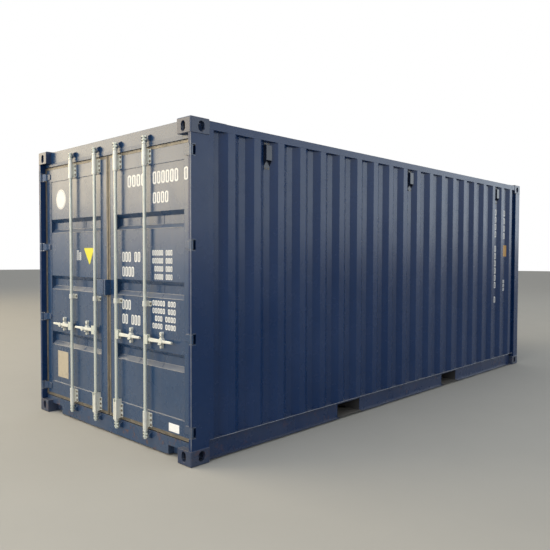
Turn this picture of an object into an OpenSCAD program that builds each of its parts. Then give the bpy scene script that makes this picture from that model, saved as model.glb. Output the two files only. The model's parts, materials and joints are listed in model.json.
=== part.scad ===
// Dry freight container, 20 ft by 8 ft by 8 ft 6 in, with two hinged rear doors.
// Millimetres. X runs along the box with the doors at -X, Y is the width, Z is up.
// The origin is on the ground, under the middle of the box.

/* [Container] */
// overall length over the corner fittings
length = 6058; // [5450:1:6700]
// overall width over the corner fittings
width = 2438; // [2300:1:2600]
// overall height over the corner fittings
height = 2591; // [2300:1:2896]

/* [Corner fittings] */
// length of a fitting along the box
fitting_length = 178; // [170:1:186]
// width of a fitting across the box
fitting_width = 162; // [155:1:170]
// height of a fitting
fitting_height = 118; // [112:1:124]
// thickness of the plate round the base slot
fitting_plate = 28; // [24:1:32]
// thickness of the outer walls
fitting_wall = 27; // [20:1:30]
// radius of the rounded outer edges
fitting_round = 11; // [6:1:14]
// length of the twist lock slot
slot_length = 124.5; // [120:0.5:130]
// width of the twist lock slot
slot_width = 63.5; // [60:0.5:66]

/* [Frame] */
// how far the posts and walls sit behind the fitting faces
skin_inset = 4; // [3:0.5:6]
// thickness of the pressed post steel
post_steel = 6; // [4:0.5:8]
// width of the rear post strip seen from the end
post_strip = 28; // [24:1:34]
// thickness of the rolled inner post channel
channel_steel = 12; // [8:0.5:12]
// reach of the front posts along the side
front_post_side = 135; // [120:1:145]
// reach of the front posts across the end
front_post_face = 85; // [75:1:95]
// outside size of the square top rails
top_rail_size = 60; // [50:1:70]
// wall of the square top rails
top_rail_wall = 3; // [2:0.5:5]
// drop from the top of the fittings to the top rails
top_rail_drop = 17; // [14:1:20]
// height of the bottom side rails
bottom_rail_height = 162; // [150:1:170]
// steel of the bottom side rails
bottom_rail_steel = 4.5; // [3:0.5:6]
// height of the rails and sills above the ground
ground_gap = 12.5; // [10:0.5:18]

/* [Walls and roof] */
// sheet thickness of the walls, roof and door panels
sheet = 2; // [1.6:0.1:3]
// depth of the side wall corrugation
side_depth = 36; // [30:1:40]
// pitch of the side wall corrugation
side_pitch = 281; // [270:1:290]
// width of the outer flats of the side wall
side_outer = 75; // [60:1:90]
// width of the sloping faces of the side wall
side_slope = 68; // [50:1:75]
// depth of the front wall corrugation
front_depth = 45; // [35:1:50]
// pitch of the front wall corrugation
front_pitch = 250; // [230:1:280]
// height of the roof ribs
roof_depth = 20; // [14:1:22]
// pitch of the roof ribs
roof_pitch = 209; // [190:1:230]

/* [Doors] */
// depth of the door face behind the rear plane
door_recess = 57; // [55:1:62]
// thickness of the door leaf
door_thick = 50; // [40:1:60]
// bottom of the door leaf
door_low = 172; // [170:1:180]
// width of the outer stile
stile_outer = 98; // [85:1:110]
// width of the inner stile
stile_inner = 115; // [100:1:125]
// height of the top and bottom rails of a leaf
rail_tall = 136; // [120:1:150]
// depth of the three troughs in each door panel
trough_depth = 34; // [20:1:40]
// radius of the lock bars
bar_radius = 13.5; // [12:0.5:14]
// depth of the lock bar axes behind the rear plane
bar_depth = 21; // [21:0.5:22]
// distance of the inner lock bars from the middle
bar_inner = 172; // [165:1:185]
// distance of the outer lock bars from the middle
bar_outer = 602; // [590:1:640]
// height of the handles above the ground
handle_height = 900; // [800:1:1000]
// reach of a handle from its bar
handle_reach = 355; // [320:1:375]

/* [Floor] */
// top of the timber floor
floor_top = 172; // [168:1:176]
// thickness of the floor boards
board_thick = 28; // [20:1:30]
// pitch of the crossmembers
cross_pitch = 280; // [250:1:300]
// clear width of a fork pocket
pocket_width = 360; // [300:1:400]
// distance between the middles of the fork pockets
pocket_spacing = 2050; // [1900:1:2200]

/* [Hidden] */
$fn = 40;
paint = [0.13, 0.20, 0.34];
galvanised = [0.80, 0.80, 0.76];
rubber = [0.45, 0.38, 0.28];
timber = [0.45, 0.30, 0.18];
underseal = [0.10, 0.12, 0.16];
// reach of a cutter past the face that it cuts
past = 1;
// running gap between a moving piece and what it passes
running = 6;

// faces of the frame
rear = -length / 2;
front = length / 2;
side = width / 2;
skin = side - skin_inset;
in_rear = rear + fitting_length;
in_front = front - fitting_length;
in_side = side - fitting_width;
post_low = fitting_height;
post_high = height - fitting_height;
rail_top = height - top_rail_drop;
rail_low = rail_top - top_rail_size;
rail_inner = skin - top_rail_size;
bottom_rail_top = ground_gap + bottom_rail_height;

// corner fittings
slot_from_end = 102.5;
slot_from_side = 89.5;
side_hole_up = 66;
side_hole_tall = 79.5;
end_hole_wide = 51;
fitting_back = 13;

// rear posts: an outer pressing with a rolled channel behind it
return_reach = 65;
channel_lap = 1;
post_face = rear + skin_inset;
channel_end = in_rear - skin_inset;
post_inner = skin - post_strip + channel_lap - channel_steel;

// front posts
front_post_lip = 55;
front_post_return = 50;
post_back = front - skin_inset;
front_inner = skin - front_post_face;

// hinges
pin_inset = 18;
pin_radius = 9;
pin_x = rear + pin_inset;
pin_y = side - pin_inset;
hinge_count = 4;
hinge_from_end = 83;
hinge_half = 37;
lug_thick = 8;
lug_half_wide = 14;
lug_bore = 0.5;
hinge_notch_deep = 50;
hinge_notch_wide = 33;
blade_gap = 3;
blade_eye = 15;
blade_thick = 8;
blade_reach = 120;
blade_taper = 9;
blade_round = 12;
neck_half = 6;
neck_spread = 4.5;

// bottom side rails: a channel whose flanges point outwards
web_inset = 52;
web_y = side - web_inset;
web_inner = web_y - bottom_rail_steel;
rail_foot = 30;

// rear sill and rear header
header_recess = 53;
header_face = rear + header_recess;
header_low_drop = 148;
header_bend_drop = 116;
header_top_drop = 8;
header_low = height - header_low_drop;
header_bend = height - header_bend_drop;
header_top = height - header_top_drop;
header_lip = 3;
header_deep = 86;
header_steel = 4;
header_back = header_face + header_deep;
end_plate = 4;
sill_gap = 17;
sill_top = door_low - sill_gap;
sill_deep = 80;
sill_foot = 60;
sill_steel = 5;
sill_back = header_face + sill_deep;
notch_long = 190;
notch_tall = 75;
notch_plate = 55;

// front sill
front_sill_wide = 60;
front_sill_top = 150;

// side wall corrugation, counted from the rear post
side_lead = 45;
side_lead_slope = 34;
side_first = 369;
side_start = rear + side_first;
wall_end = post_back - front_post_side;
wall_clear = 5;
side_count = floor((wall_end - wall_clear - side_outer - side_slope - side_start) / side_pitch) + 1;
side_flat = side_pitch - side_outer - 2 * side_slope;

// front wall corrugation, spread from the middle
front_slope = 18;
front_outer = 92;
front_count = floor(2 * front_inner / front_pitch);
front_start = -front_pitch * front_count / 2;
front_lead = (front_pitch - front_outer - 2 * front_slope) / 2;

// roof ribs, spread from the middle
roof_drop = 8;
roof_high = height - roof_drop;
roof_flat_low = roof_high - roof_depth;
roof_slope = 14;
roof_flat = (roof_pitch - 2 * roof_slope) / 2;
roof_edge = 30;
roof_count = floor((in_front - in_rear - 2 * roof_edge) / roof_pitch);
roof_start = -roof_pitch * roof_count / 2;
rib_end = 32;
corner_plate_long = 180;
corner_plate_wide = 52;
corner_plate_thick = 3;
corner_plate_inset = 3;

// ventilators, hung under the top rail
vent_wide = 64;
vent_plate = 2;
vent_margin = 1;
vent_plate_high = 6;
vent_plate_low = 230;
vent_high = 24;
vent_lip = 154;
vent_low = 198;
vent_out = 29;
vent_fall = 8;
vent_steel = 2.5;
vent_from_end = 3;

// floor
board_low = floor_top - board_thick;
cross_tall = 122;
cross_low = board_low - cross_tall;
cross_steel = 4;
cross_foot = 40;
cross_head = 46;
cross_gap = 5;
pocket_lap = 45;
pocket_steel = 4;
pocket_half = pocket_width / 2;
pocket_x = pocket_spacing / 2;
pocket_far = pocket_half + pocket_lap;
strap_steel = 5;
strap_long = 165;
strap_out = 30;
notch_under = 4;
board_rows = 3;
floor_gap = 2;
centre_half = 26;
centre_steel = 4;
floor_start = sill_back;
floor_end = post_back - front_sill_wide - floor_gap;

// door leaf
door_top_gap = 13;
door_high = header_low - door_top_gap;
door_side_gap = 51;
door_edge = side - door_side_gap;
door_gap = 15;
door_face = rear + door_recess;
door_mid = (door_low + door_high) / 2;
tube_wall = 3;
panel_step = 3;
panel_face = door_face + panel_step;
panel_low = door_low + rail_tall;
panel_high = door_high - rail_tall;
trough_pitch = 553;
trough_half = 67;
trough_floor_half = 33;
gasket_thick = 6;
gasket_side = 13;
gasket_mid = 11;
gasket_low = 11;
gasket_high = 7;

// lock bars and what carries them
bar_x = rear + bar_depth;
bore_gap = 0.8;
bore = bar_radius + bore_gap;
sleeve_wall = 6.5;
sleeve_over = 31;
sleeve_under = 10;
sleeve_long = 140;
neck_long = 47;
neck_wall = 3;
flange_from = 9;
flange_long = 115;
flange_half = 46;
flange_steel = 6;
stem_half = 14;
mid_drop = 118;
mid_tall = 41;
mid_flange_half = 42;
guard_half = 24;
guard_steel = 4;
guard_front = 2;
guard_low = sill_top + running;
guard_high = 168;
guard_fall = 30;
guard_slot = 9;
cam_drop = 84;
cam_high = height - cam_drop;
cam_low = 118;
cam_tall = 34;
cam_plate = 10;
cam_collar = 6;
cam_nose = 30;
cam_nose_radius = 8;
cam_root = 12;
bar_foot = 32;
keeper_jaw = 9;
keeper_gap = 40;
keeper_root = 28;
keeper_tip = 12;
keeper_reach = 30;

// handles: a clevis on the bar, a pinned lever and a catch on the door
hub_tall = 76;
clevis_reach = 50;
clevis_steel = 6;
clevis_gap = 8;
pivot = 40;
pivot_radius = 6;
pivot_head = 2;
tongue_half = 5;
tongue_root = 12.5;
lever_boss = 13;
lever_start = 63;
lever_half = 9;
lever_root = 16;
lever_tip = 10.5;
tab_at = 222;
tab_radius = 21;
tab_steel = 7;
tab_drop = 3;
tab_hole = 5;
tab_hole_drop = 12;
catch_at = 190;
catch_thick = 25;
catch_disc = 24;
catch_bar_half = 9;
catch_ring = 14;
catch_hole = 5;
catch_up = 56;
catch_down = 50;
catch_lobe = 11;
lobe_hole = 4;
ledge_half = 14;
ledge_reach = 17;
ledge_thick = 10;

// lock box, one half on each leaf
box_tall = 132;
box_drop = 9;
box_steel = 5;
box_gap = 4;
box_left = 106;
box_right = 26;
box_front = 2;

// helpers
module mirrored_y() {
    children();
    mirror([0, 1, 0]) children();
}

module mirrored_x() {
    children();
    mirror([1, 0, 0]) children();
}

module left() {
    mirror([0, 1, 0]) children();
}

// flat stadium of total length and width, long side along X
module stadium(total, wide) {
    half = (total - wide) / 2;
    translate([-half, 0]) circle(d = wide);
    translate([half, 0]) circle(d = wide);
    translate([-half, -wide / 2]) square([2 * half, wide]);
}

// rectangle from the origin whose corner at the origin is rounded
module round_corner(long, wide) {
    difference() {
        square([long, wide]);
        square(fitting_round);
    }
    translate([fitting_round, fitting_round]) intersection() {
        circle(r = fitting_round);
        translate([-fitting_round, -fitting_round]) square(fitting_round);
    }
}

// profile drawn in X and Z, extruded across the width from y = 0 to y = wide
module across(wide) {
    translate([0, wide, 0]) rotate([90, 0, 0]) linear_extrude(wide) children();
}

// profile drawn in Y and Z, extruded along X
module along(long) {
    rotate([90, 0, 90]) linear_extrude(long) children();
}

function reversed(list) = [for (i = [len(list) - 1 : -1 : 0]) list[i]];

// corner fittings
module corner_fitting() {
    inner = fitting_length - fitting_wall - fitting_back;
    difference() {
        intersection() {
            linear_extrude(fitting_height) round_corner(fitting_length, fitting_width);
            across(fitting_width) round_corner(fitting_length, fitting_height);
            along(fitting_length) round_corner(fitting_width, fitting_height);
        }
        translate([fitting_wall, fitting_wall, fitting_plate])
            cube([inner, fitting_width - fitting_wall - fitting_back,
                fitting_height - fitting_plate - fitting_back]);
        translate([slot_from_end, slot_from_side, -past])
            linear_extrude(fitting_plate + 2 * past) stadium(slot_length, slot_width);
        translate([-past, slot_from_side, side_hole_up]) rotate([0, 90, 0])
            linear_extrude(fitting_wall + 2 * past) stadium(side_hole_tall, end_hole_wide);
        translate([slot_from_end, fitting_wall + past, side_hole_up]) rotate([90, 0, 0])
            linear_extrude(fitting_wall + 2 * past) rotate(90)
            stadium(side_hole_tall, slot_width);
    }
}

module bottom_corner_fittings() {
    color(paint) mirrored_x() mirrored_y() translate([rear, -side, 0]) corner_fitting();
}

module top_corner_fittings() {
    color(paint) mirrored_x() mirrored_y() translate([rear, -side, height])
        mirror([0, 0, 1]) corner_fitting();
}

// room that a top front fitting takes out of a wall
module top_fitting_room() {
    translate([in_front, -side, post_high]) cube([fitting_length, fitting_width, fitting_height]);
}

// posts
module rear_post_section() {
    lap_y = -skin + post_strip;
    channel_x = post_face + return_reach;
    leg = post_strip - post_steel - channel_lap;
    translate([post_face, -skin]) square([in_rear - post_face, post_steel]);
    translate([post_face, -skin]) square([post_steel, post_strip]);
    translate([post_face, lap_y - post_steel]) square([return_reach, post_steel]);
    translate([channel_x, lap_y - channel_lap]) square([channel_end - channel_x, channel_steel]);
    for (x = [channel_x, channel_end - channel_steel])
        translate([x, -skin + post_steel]) square([channel_steel, leg]);
}

function hinge_height(i) = door_low + hinge_from_end
    + i * (door_high - door_low - 2 * hinge_from_end) / (hinge_count - 1);

module each_hinge() {
    for (i = [0 : hinge_count - 1]) translate([0, 0, hinge_height(i)]) children();
}

module rear_posts() {
    tall = 2 * hinge_half + 2 * lug_thick;
    color(paint) mirrored_y() difference() {
        translate([0, 0, post_low]) linear_extrude(post_high - post_low) rear_post_section();
        each_hinge() translate([rear - past, -side - past, -tall / 2])
            cube([hinge_notch_deep + past, hinge_notch_wide + past, tall]);
    }
}

module front_posts() {
    start = post_back - front_post_side;
    color(paint) mirrored_y() translate([0, 0, post_low])
        linear_extrude(post_high - post_low) {
        translate([start, -skin]) square([front_post_side, post_steel]);
        translate([start, -skin]) square([post_steel, front_post_lip]);
        translate([post_back - post_steel, -skin]) square([post_steel, front_post_face]);
        translate([post_back - front_post_return, -front_inner - post_steel])
            square([front_post_return, post_steel]);
    }
}

// hinges
module drilled_lug() {
    difference() {
        union() {
            cylinder(r = pin_inset - past, h = lug_thick);
            translate([0, -lug_half_wide, 0])
                cube([hinge_notch_deep - pin_inset, 2 * lug_half_wide, lug_thick]);
        }
        translate([0, 0, -past]) cylinder(r = pin_radius + lug_bore, h = lug_thick + 2 * past);
    }
}

module hinge_lugs() {
    color(paint) mirrored_y() each_hinge() for (z = [hinge_half, -hinge_half - lug_thick])
        translate([pin_x, -pin_y, z]) drilled_lug();
}

module hinge_pins() {
    tall = 2 * hinge_half + 2 * lug_thick;
    color(galvanised) mirrored_y() each_hinge() translate([pin_x, -pin_y, -tall / 2])
        cylinder(r = pin_radius, h = tall);
}

// plan of a hinge blade from the pin, the leaf towards +Y
module blade_plan() {
    back = door_recess - pin_inset;
    face = back - blade_thick;
    edge = door_side_gap - pin_inset;
    aim = atan2(edge, (back + face) / 2);
    neck = neck_half * [-sin(aim), cos(aim)];
    circle(r = blade_eye);
    polygon([neck, -neck, [back, edge - neck_spread], [back, blade_reach],
        [face, blade_reach], [face, edge + neck_spread]]);
}

// face of a hinge blade seen from the end, narrowing away from the pin
module blade_face() {
    half = hinge_half - blade_gap;
    tip = half - blade_taper;
    square([4 * blade_eye, 2 * half], center = true);
    polygon([[blade_eye, -half], [2 * blade_eye, -half], [blade_reach - blade_round, -tip],
        [blade_reach - blade_round, tip], [2 * blade_eye, half], [blade_eye, half]]);
    for (z = [-tip + blade_round, tip - blade_round])
        translate([blade_reach - blade_round, z]) circle(r = blade_round);
    translate([blade_reach - 2 * blade_round, -tip + blade_round])
        square([2 * blade_round, 2 * (tip - blade_round)]);
}

module hinge_blade() {
    half = hinge_half - blade_gap;
    translate([pin_x, -pin_y, 0]) difference() {
        intersection() {
            translate([0, 0, -half]) linear_extrude(2 * half) blade_plan();
            translate([-side, 0, 0]) along(width) blade_face();
        }
        translate([0, 0, -half - past])
            cylinder(r = pin_radius + past, h = 2 * half + 2 * past);
    }
}

// bottom side rails
module pocket_gap_x() {
    for (x = [-pocket_x, pocket_x]) translate([x, 0, 0]) children();
}

module bottom_side_rails() {
    notch_top = board_low - notch_under;
    color(paint) mirrored_y() {
        translate([in_rear, -web_y, notch_top])
            cube([in_front - in_rear, bottom_rail_steel, bottom_rail_top - notch_top]);
        translate([in_rear, -skin, bottom_rail_top - bottom_rail_steel])
            cube([in_front - in_rear, skin - web_y + past, bottom_rail_steel]);
    }
}

module bottom_rail_webs() {
    notch_top = board_low - notch_under;
    bounds = [in_rear, -pocket_x - pocket_half, -pocket_x + pocket_half,
        pocket_x - pocket_half, pocket_x + pocket_half, in_front];
    color(paint) mirrored_y() for (i = [0, 2, 4]) translate([bounds[i], 0, ground_gap]) {
        translate([0, -web_y, 0])
            cube([bounds[i + 1] - bounds[i], bottom_rail_steel, notch_top - ground_gap]);
        translate([0, -web_y - rail_foot, 0])
            cube([bounds[i + 1] - bounds[i], rail_foot + past, bottom_rail_steel]);
    }
}

module top_side_rails() {
    inner = top_rail_size - 2 * top_rail_wall;
    color(paint) mirrored_y() translate([in_rear, -skin, rail_low]) difference() {
        cube([in_front - in_rear, top_rail_size, top_rail_size]);
        translate([-past, top_rail_wall, top_rail_wall])
            cube([in_front - in_rear + 2 * past, inner, inner]);
    }
}

// rear sill, with a notch under it beside each fitting
module rear_sill() {
    span = 2 * in_side;
    color(paint) {
        difference() {
            union() {
                translate([header_face, -in_side, ground_gap])
                    cube([sill_steel, span, sill_top - ground_gap]);
                translate([header_face, -in_side, sill_top - sill_steel])
                    cube([sill_deep, span, sill_steel]);
                translate([header_face, -in_side, ground_gap])
                    cube([sill_foot, span, sill_steel]);
                translate([sill_back - sill_steel, -in_side, sill_top - sill_steel])
                    cube([sill_steel, span, floor_top - sill_top + sill_steel]);
            }
            mirrored_y() translate([header_face - past, -in_side - past, 0])
                cube([sill_deep, notch_long + past, ground_gap + notch_tall]);
        }
        mirrored_y() {
            translate([header_face, -in_side, ground_gap + notch_tall])
                cube([sill_foot, notch_long + sill_steel, sill_steel]);
            translate([header_face, -in_side + notch_long, ground_gap])
                cube([sill_foot, sill_steel, notch_tall + sill_steel]);
            translate([header_face + notch_plate, -in_side, ground_gap])
                cube([sill_steel, notch_long + sill_steel, notch_tall + sill_steel]);
            translate([header_face, -post_inner, fitting_height])
                cube([sill_deep, post_inner - in_side, sill_top - fitting_height]);
        }
    }
}

// rear header: a box section with a slanted lip, and a plate to the roof
module header_section(steel) {
    lip_x = header_face + header_lip;
    difference() {
        polygon([[header_face, header_top], [header_face, header_bend], [lip_x, header_low],
            [header_back, header_low], [header_back, header_top]]);
        polygon([[header_face + steel, header_top - steel],
            [header_face + steel, header_bend + past], [lip_x + steel, header_low + steel],
            [header_back - steel, header_low + steel],
            [header_back - steel, header_top - steel]]);
    }
}

module rear_header() {
    lip_x = header_face + header_lip;
    color(paint) {
        translate([0, -in_side, 0]) across(2 * in_side) header_section(header_steel);
        translate([header_back - past, -in_side, rail_top])
            cube([in_rear - header_back + past, 2 * in_side, end_plate]);
        mirrored_y() translate([0, -post_inner, 0]) across(post_inner - in_side)
            polygon([[header_face + past, post_high], [lip_x, header_low],
                [header_back, header_low], [header_back, post_high]]);
    }
}

// keeper for a bar's cam: two jaws on the frame that narrow away from it
module keeper(z) {
    tip_x = header_face - keeper_reach;
    for (y = [-keeper_gap - keeper_jaw, keeper_gap]) translate([0, y, z]) across(keeper_jaw)
        polygon([[header_face, -keeper_root], [header_face, keeper_root],
            [tip_x, keeper_tip], [tip_x, -keeper_tip]]);
}

module upper_cam_keepers() {
    color(paint) for (y = [-bar_outer, -bar_inner, bar_inner, bar_outer])
        translate([0, y, 0]) keeper(cam_high);
}

module lower_cam_keepers() {
    color(paint) for (y = [-bar_outer, -bar_inner, bar_inner, bar_outer])
        translate([0, y, 0]) keeper(cam_low);
}

// front frame
module front_sill() {
    low_x = post_back - front_sill_wide;
    color(paint) {
        translate([post_back - sill_steel, -in_side, ground_gap])
            cube([sill_steel, 2 * in_side, front_sill_top - ground_gap]);
        translate([low_x, -in_side, ground_gap])
            cube([front_sill_wide, 2 * in_side, sill_steel]);
        translate([low_x, -front_inner, front_sill_top - sill_steel])
            cube([front_sill_wide, 2 * front_inner, sill_steel]);
        mirrored_y() translate([post_back - sill_steel, -front_inner, fitting_height])
            cube([sill_steel, front_inner - in_side, front_sill_top - fitting_height]);
    }
}

module front_header() {
    inner = top_rail_size - 2 * top_rail_wall;
    color(paint) {
        translate([post_back - top_rail_size, -in_side, rail_low]) difference() {
            cube([top_rail_size, 2 * in_side, top_rail_size]);
            translate([top_rail_wall, -past, top_rail_wall])
                cube([inner, 2 * in_side + 2 * past, inner]);
        }
        translate([in_front, -in_side, rail_top])
            cube([post_back - in_front, 2 * in_side, end_plate]);
    }
}

// zigzag of the front wall as points across the box, x measured inwards
function front_path(t) = concat(
    [[post_back - front_depth - t, -front_inner]],
    [for (i = [0 : front_count - 1]) for (p = [0 : 3])
        [post_back - ((p == 1 || p == 2) ? 0 : front_depth) - t,
            front_start + i * front_pitch + front_lead
                + [0, front_slope, front_slope + front_outer, 2 * front_slope + front_outer][p]]],
    [[post_back - front_depth - t, front_inner]]);

module front_wall() {
    color(paint) difference() {
        translate([0, 0, front_sill_top]) linear_extrude(rail_low - front_sill_top)
            polygon(concat(front_path(0), reversed(front_path(sheet))));
        mirrored_y() top_fitting_room();
    }
}

// zigzag of the side wall, y measured inwards from the skin
function side_path(t) = concat(
    [[in_rear, -skin + t], [in_rear + side_lead, -skin + t],
        [in_rear + side_lead + side_lead_slope, -skin + side_depth + t],
        [side_start - side_slope, -skin + side_depth + t]],
    [for (i = [0 : side_count - 1]) for (p = [0 : 3]) if (i < side_count - 1 || p < 3)
        [side_start + i * side_pitch
            + [0, side_outer, side_outer + side_slope, side_pitch - side_slope][p],
            -skin + (p < 2 ? 0 : side_depth) + t]],
    [[wall_end, -skin + side_depth + t]]);

module side_wall() {
    color(paint) difference() {
        translate([0, 0, bottom_rail_top]) linear_extrude(rail_low - bottom_rail_top)
            polygon(concat(side_path(0), reversed(side_path(sheet))));
        top_fitting_room();
    }
}

module side_wall_left() {
    left() side_wall();
}

module side_wall_right() {
    side_wall();
}

// roof: ribs with sloping ends, turned up to the rails and the end plates
function roof_path(t, raised) = concat(
    [[in_rear, roof_flat_low - t]],
    [for (i = [0 : roof_count - 1]) for (p = [0 : 3])
        [roof_start + i * roof_pitch + roof_flat / 2
            + [0, roof_slope, roof_slope + roof_flat, 2 * roof_slope + roof_flat][p],
            ((p == 1 || p == 2) ? raised : roof_flat_low) - t]],
    [[in_front, roof_flat_low - t]]);

module roof_panel() {
    base = roof_flat_low - sheet;
    edge_top = rail_top + sheet;
    // wedge above a rib's sloping end
    wedge = [[-past, edge_top], [rib_end, roof_high], [rib_end, roof_high + past],
        [-past, roof_high + past]];
    color(paint) {
        difference() {
            translate([0, -rail_inner, 0]) across(2 * rail_inner)
                polygon(concat(roof_path(0, roof_high), reversed(roof_path(sheet, roof_high))));
            mirrored_y() translate([in_rear, -rail_inner, 0]) along(in_front - in_rear)
                polygon(wedge);
        }
        intersection() {
            translate([0, -rail_inner, 0]) across(2 * rail_inner)
                polygon(concat(roof_path(0, roof_high), [[in_front, base], [in_rear, base]]));
            mirrored_y() translate([in_rear, -rail_inner, 0]) along(in_front - in_rear)
                polygon([[0, edge_top], [rib_end, roof_high], [rib_end, roof_high - sheet],
                    [0, edge_top - sheet]]);
        }
        mirrored_y() {
            translate([in_rear, -skin + past, rail_top])
                cube([in_front - in_rear, top_rail_size - past, sheet]);
            translate([in_rear, -rail_inner, base])
                cube([in_front - in_rear, sheet, edge_top - base]);
        }
        for (x = [in_rear, in_front - sheet]) translate([x, -rail_inner, base])
            cube([sheet, 2 * rail_inner, rail_top + end_plate - base]);
    }
}

module roof_corner_plates() {
    color(paint) mirrored_x() mirrored_y()
        translate([in_rear, -skin + corner_plate_inset, rail_top + sheet])
        cube([corner_plate_long, corner_plate_wide, corner_plate_thick]);
}

// crossmembers, inside the pockets from the middle and outside them from the pocket
cross_half = cross_head / 2;
cross_limit = min(post_back - front_sill_wide, -sill_back) - cross_half - cross_gap;
cross_first = pocket_x + pocket_far + cross_half + cross_gap;
cross_last_in = pocket_x - pocket_far - cross_half - cross_gap;
cross_in = floor(cross_last_in / cross_pitch - 0.5);
cross_out = floor((cross_limit - cross_first) / cross_pitch);
cross_at = concat([for (i = [0 : cross_in]) (i + 0.5) * cross_pitch],
    [for (i = [0 : cross_out]) cross_first + i * cross_pitch]);

module cross_section() {
    translate([-cross_half, 0]) {
        square([cross_steel, cross_tall]);
        square([cross_foot, cross_steel]);
        translate([0, cross_tall - cross_steel]) square([cross_head, cross_steel]);
    }
}

module crossmembers() {
    color(underseal) mirrored_x() for (x = cross_at)
        translate([x, -web_inner, cross_low]) across(2 * web_inner) cross_section();
}

module fork_pocket_webs() {
    color(paint) pocket_gap_x() mirrored_x()
        translate([pocket_half, -web_inner, cross_low])
        cube([pocket_steel, 2 * web_inner, cross_tall - pocket_steel]);
}

module fork_pocket_plates() {
    color(paint) pocket_gap_x() {
        translate([-pocket_far, -web_inner, board_low - pocket_steel])
            cube([2 * pocket_far, 2 * web_inner, pocket_steel]);
        mirrored_y() {
            translate([-pocket_half, -web_inner - strap_out, cross_low - strap_steel])
                cube([2 * pocket_half, strap_out + past, strap_steel]);
            translate([-pocket_far, -web_inner, cross_low - strap_steel])
                cube([2 * pocket_far, strap_long, strap_steel]);
        }
    }
}

module floor_boards() {
    run = (floor_end - floor_start) / board_rows;
    half = (web_inner - floor_gap - centre_half - past) / 2;
    color(timber) mirrored_y() for (i = [0 : board_rows - 1]) for (j = [1, 2])
        translate([floor_start + i * run + past, -centre_half - j * half, board_low])
        cube([run - 2 * past, half - past, board_thick]);
}

module floor_centre_rail() {
    long = floor_end - floor_start;
    color(underseal) {
        translate([floor_start, -centre_half, floor_top - centre_steel])
            cube([long, 2 * centre_half, centre_steel]);
        for (y = [-centre_half, centre_half - centre_steel])
            translate([floor_start, y, board_low]) cube([long, centre_steel, board_thick]);
    }
}

// ventilator: a back plate and a hood that opens downwards
module side_vent() {
    high = rail_low - vent_high;
    lip = rail_low - vent_lip;
    low = rail_low - vent_low;
    translate([-vent_wide / 2 - vent_margin, 0, rail_low - vent_plate_low])
        cube([vent_wide + 2 * vent_margin, vent_plate, vent_plate_low - vent_plate_high]);
    difference() {
        translate([-vent_wide / 2, 0, 0]) along(vent_wide)
            polygon([[past, high], [-vent_out, high - vent_fall], [-vent_out, lip], [past, low]]);
        translate([-vent_wide / 2 + vent_steel, 0, 0]) along(vent_wide - 2 * vent_steel)
            polygon([[0, high - vent_steel],
                [-vent_out + vent_steel, high - vent_fall - vent_steel],
                [-vent_out + vent_steel, low - vent_out], [0, low - vent_out]]);
    }
}

module side_vents() {
    middle = floor((side_count - 2) / 2);
    color(paint) mirrored_y() for (k = [1, middle, side_count - vent_from_end])
        translate([side_start + k * side_pitch + side_outer + side_slope + side_flat / 2,
            -skin + side_depth - vent_plate, 0]) side_vent();
}

// doors: the right leaf is drawn closed and the left leaf is its mirror image
module tube(size) {
    wall = [tube_wall, tube_wall, tube_wall];
    difference() {
        cube(size);
        translate(wall) cube(size - 2 * wall);
    }
}

module door_frame() {
    tall = door_high - door_low;
    span = door_edge - stile_outer - door_gap - stile_inner;
    color(paint) {
        translate([door_face, -door_edge, door_low]) tube([door_thick, stile_outer, tall]);
        translate([door_face, -door_gap - stile_inner, door_low])
            tube([door_thick, stile_inner, tall]);
        for (z = [door_low, panel_high])
            translate([door_face, -door_edge + stile_outer, z])
                tube([door_thick, span, rail_tall]);
    }
}

function panel_path(t) = concat([[panel_face + t, panel_high]],
    [for (i = [1 : -1 : -1]) for (p = [0 : 3])
        [panel_face + ((p == 1 || p == 2) ? trough_depth : 0) + t, door_mid + i * trough_pitch
            + [trough_half, trough_floor_half, -trough_floor_half, -trough_half][p]]],
    [[panel_face + t, panel_low]]);

module door_panel() {
    span = door_edge - stile_outer - door_gap - stile_inner;
    color(paint) translate([0, -door_edge + stile_outer, 0]) across(span)
        polygon(concat(panel_path(0), reversed(panel_path(sheet))));
}

module door_gasket() {
    tall = door_high - door_low + gasket_low + gasket_high;
    color(rubber) translate([door_face, 0, door_low - gasket_low]) {
        translate([0, -door_edge - gasket_side, 0]) cube([gasket_thick, gasket_side, tall]);
        translate([0, -door_gap, 0]) cube([gasket_thick, gasket_mid, tall]);
        translate([0, -door_edge, 0]) cube([gasket_thick, door_edge - door_gap, gasket_low]);
        translate([0, -door_edge, tall - gasket_high])
            cube([gasket_thick, door_edge - door_gap, gasket_high]);
    }
}

module hinge_blades() {
    color(paint) each_hinge() hinge_blade();
}

// sleeve round a lock bar, with a stem and a flange on the leaf
module bracket(low, high, neck, plate_low, plate_high, flange, seat) {
    sleeve = bar_radius + sleeve_wall;
    difference() {
        union() {
            translate([bar_x, 0, low]) cylinder(r = sleeve, h = high - neck - low);
            if (neck > 0) translate([bar_x, 0, high - neck])
                cylinder(r1 = sleeve, r2 = bar_radius + neck_wall, h = neck);
            translate([bar_x, -stem_half, plate_low])
                cube([seat - bar_x, 2 * stem_half, plate_high - plate_low]);
            translate([seat - flange_steel, -flange, plate_low])
                cube([flange_steel, 2 * flange, plate_high - plate_low]);
        }
        translate([bar_x, 0, low - past]) cylinder(r = bore, h = high - low + 2 * past);
    }
}

// guard round an inner bar's lower sleeve: two cheeks with a slotted front
module bar_guard() {
    front_x = rear + guard_front;
    high = door_low + guard_high;
    mirrored_y() {
        translate([0, -guard_half, 0]) across(guard_steel)
            polygon([[front_x, guard_low], [front_x, high], [door_face, high],
                [door_face, door_low + flange_from]]);
        translate([front_x, 0, 0]) along(guard_steel - past)
            polygon([[-guard_half, guard_low], [-guard_half, high],
                [-guard_slot, high - guard_fall], [-guard_slot, guard_low]]);
    }
}

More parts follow.
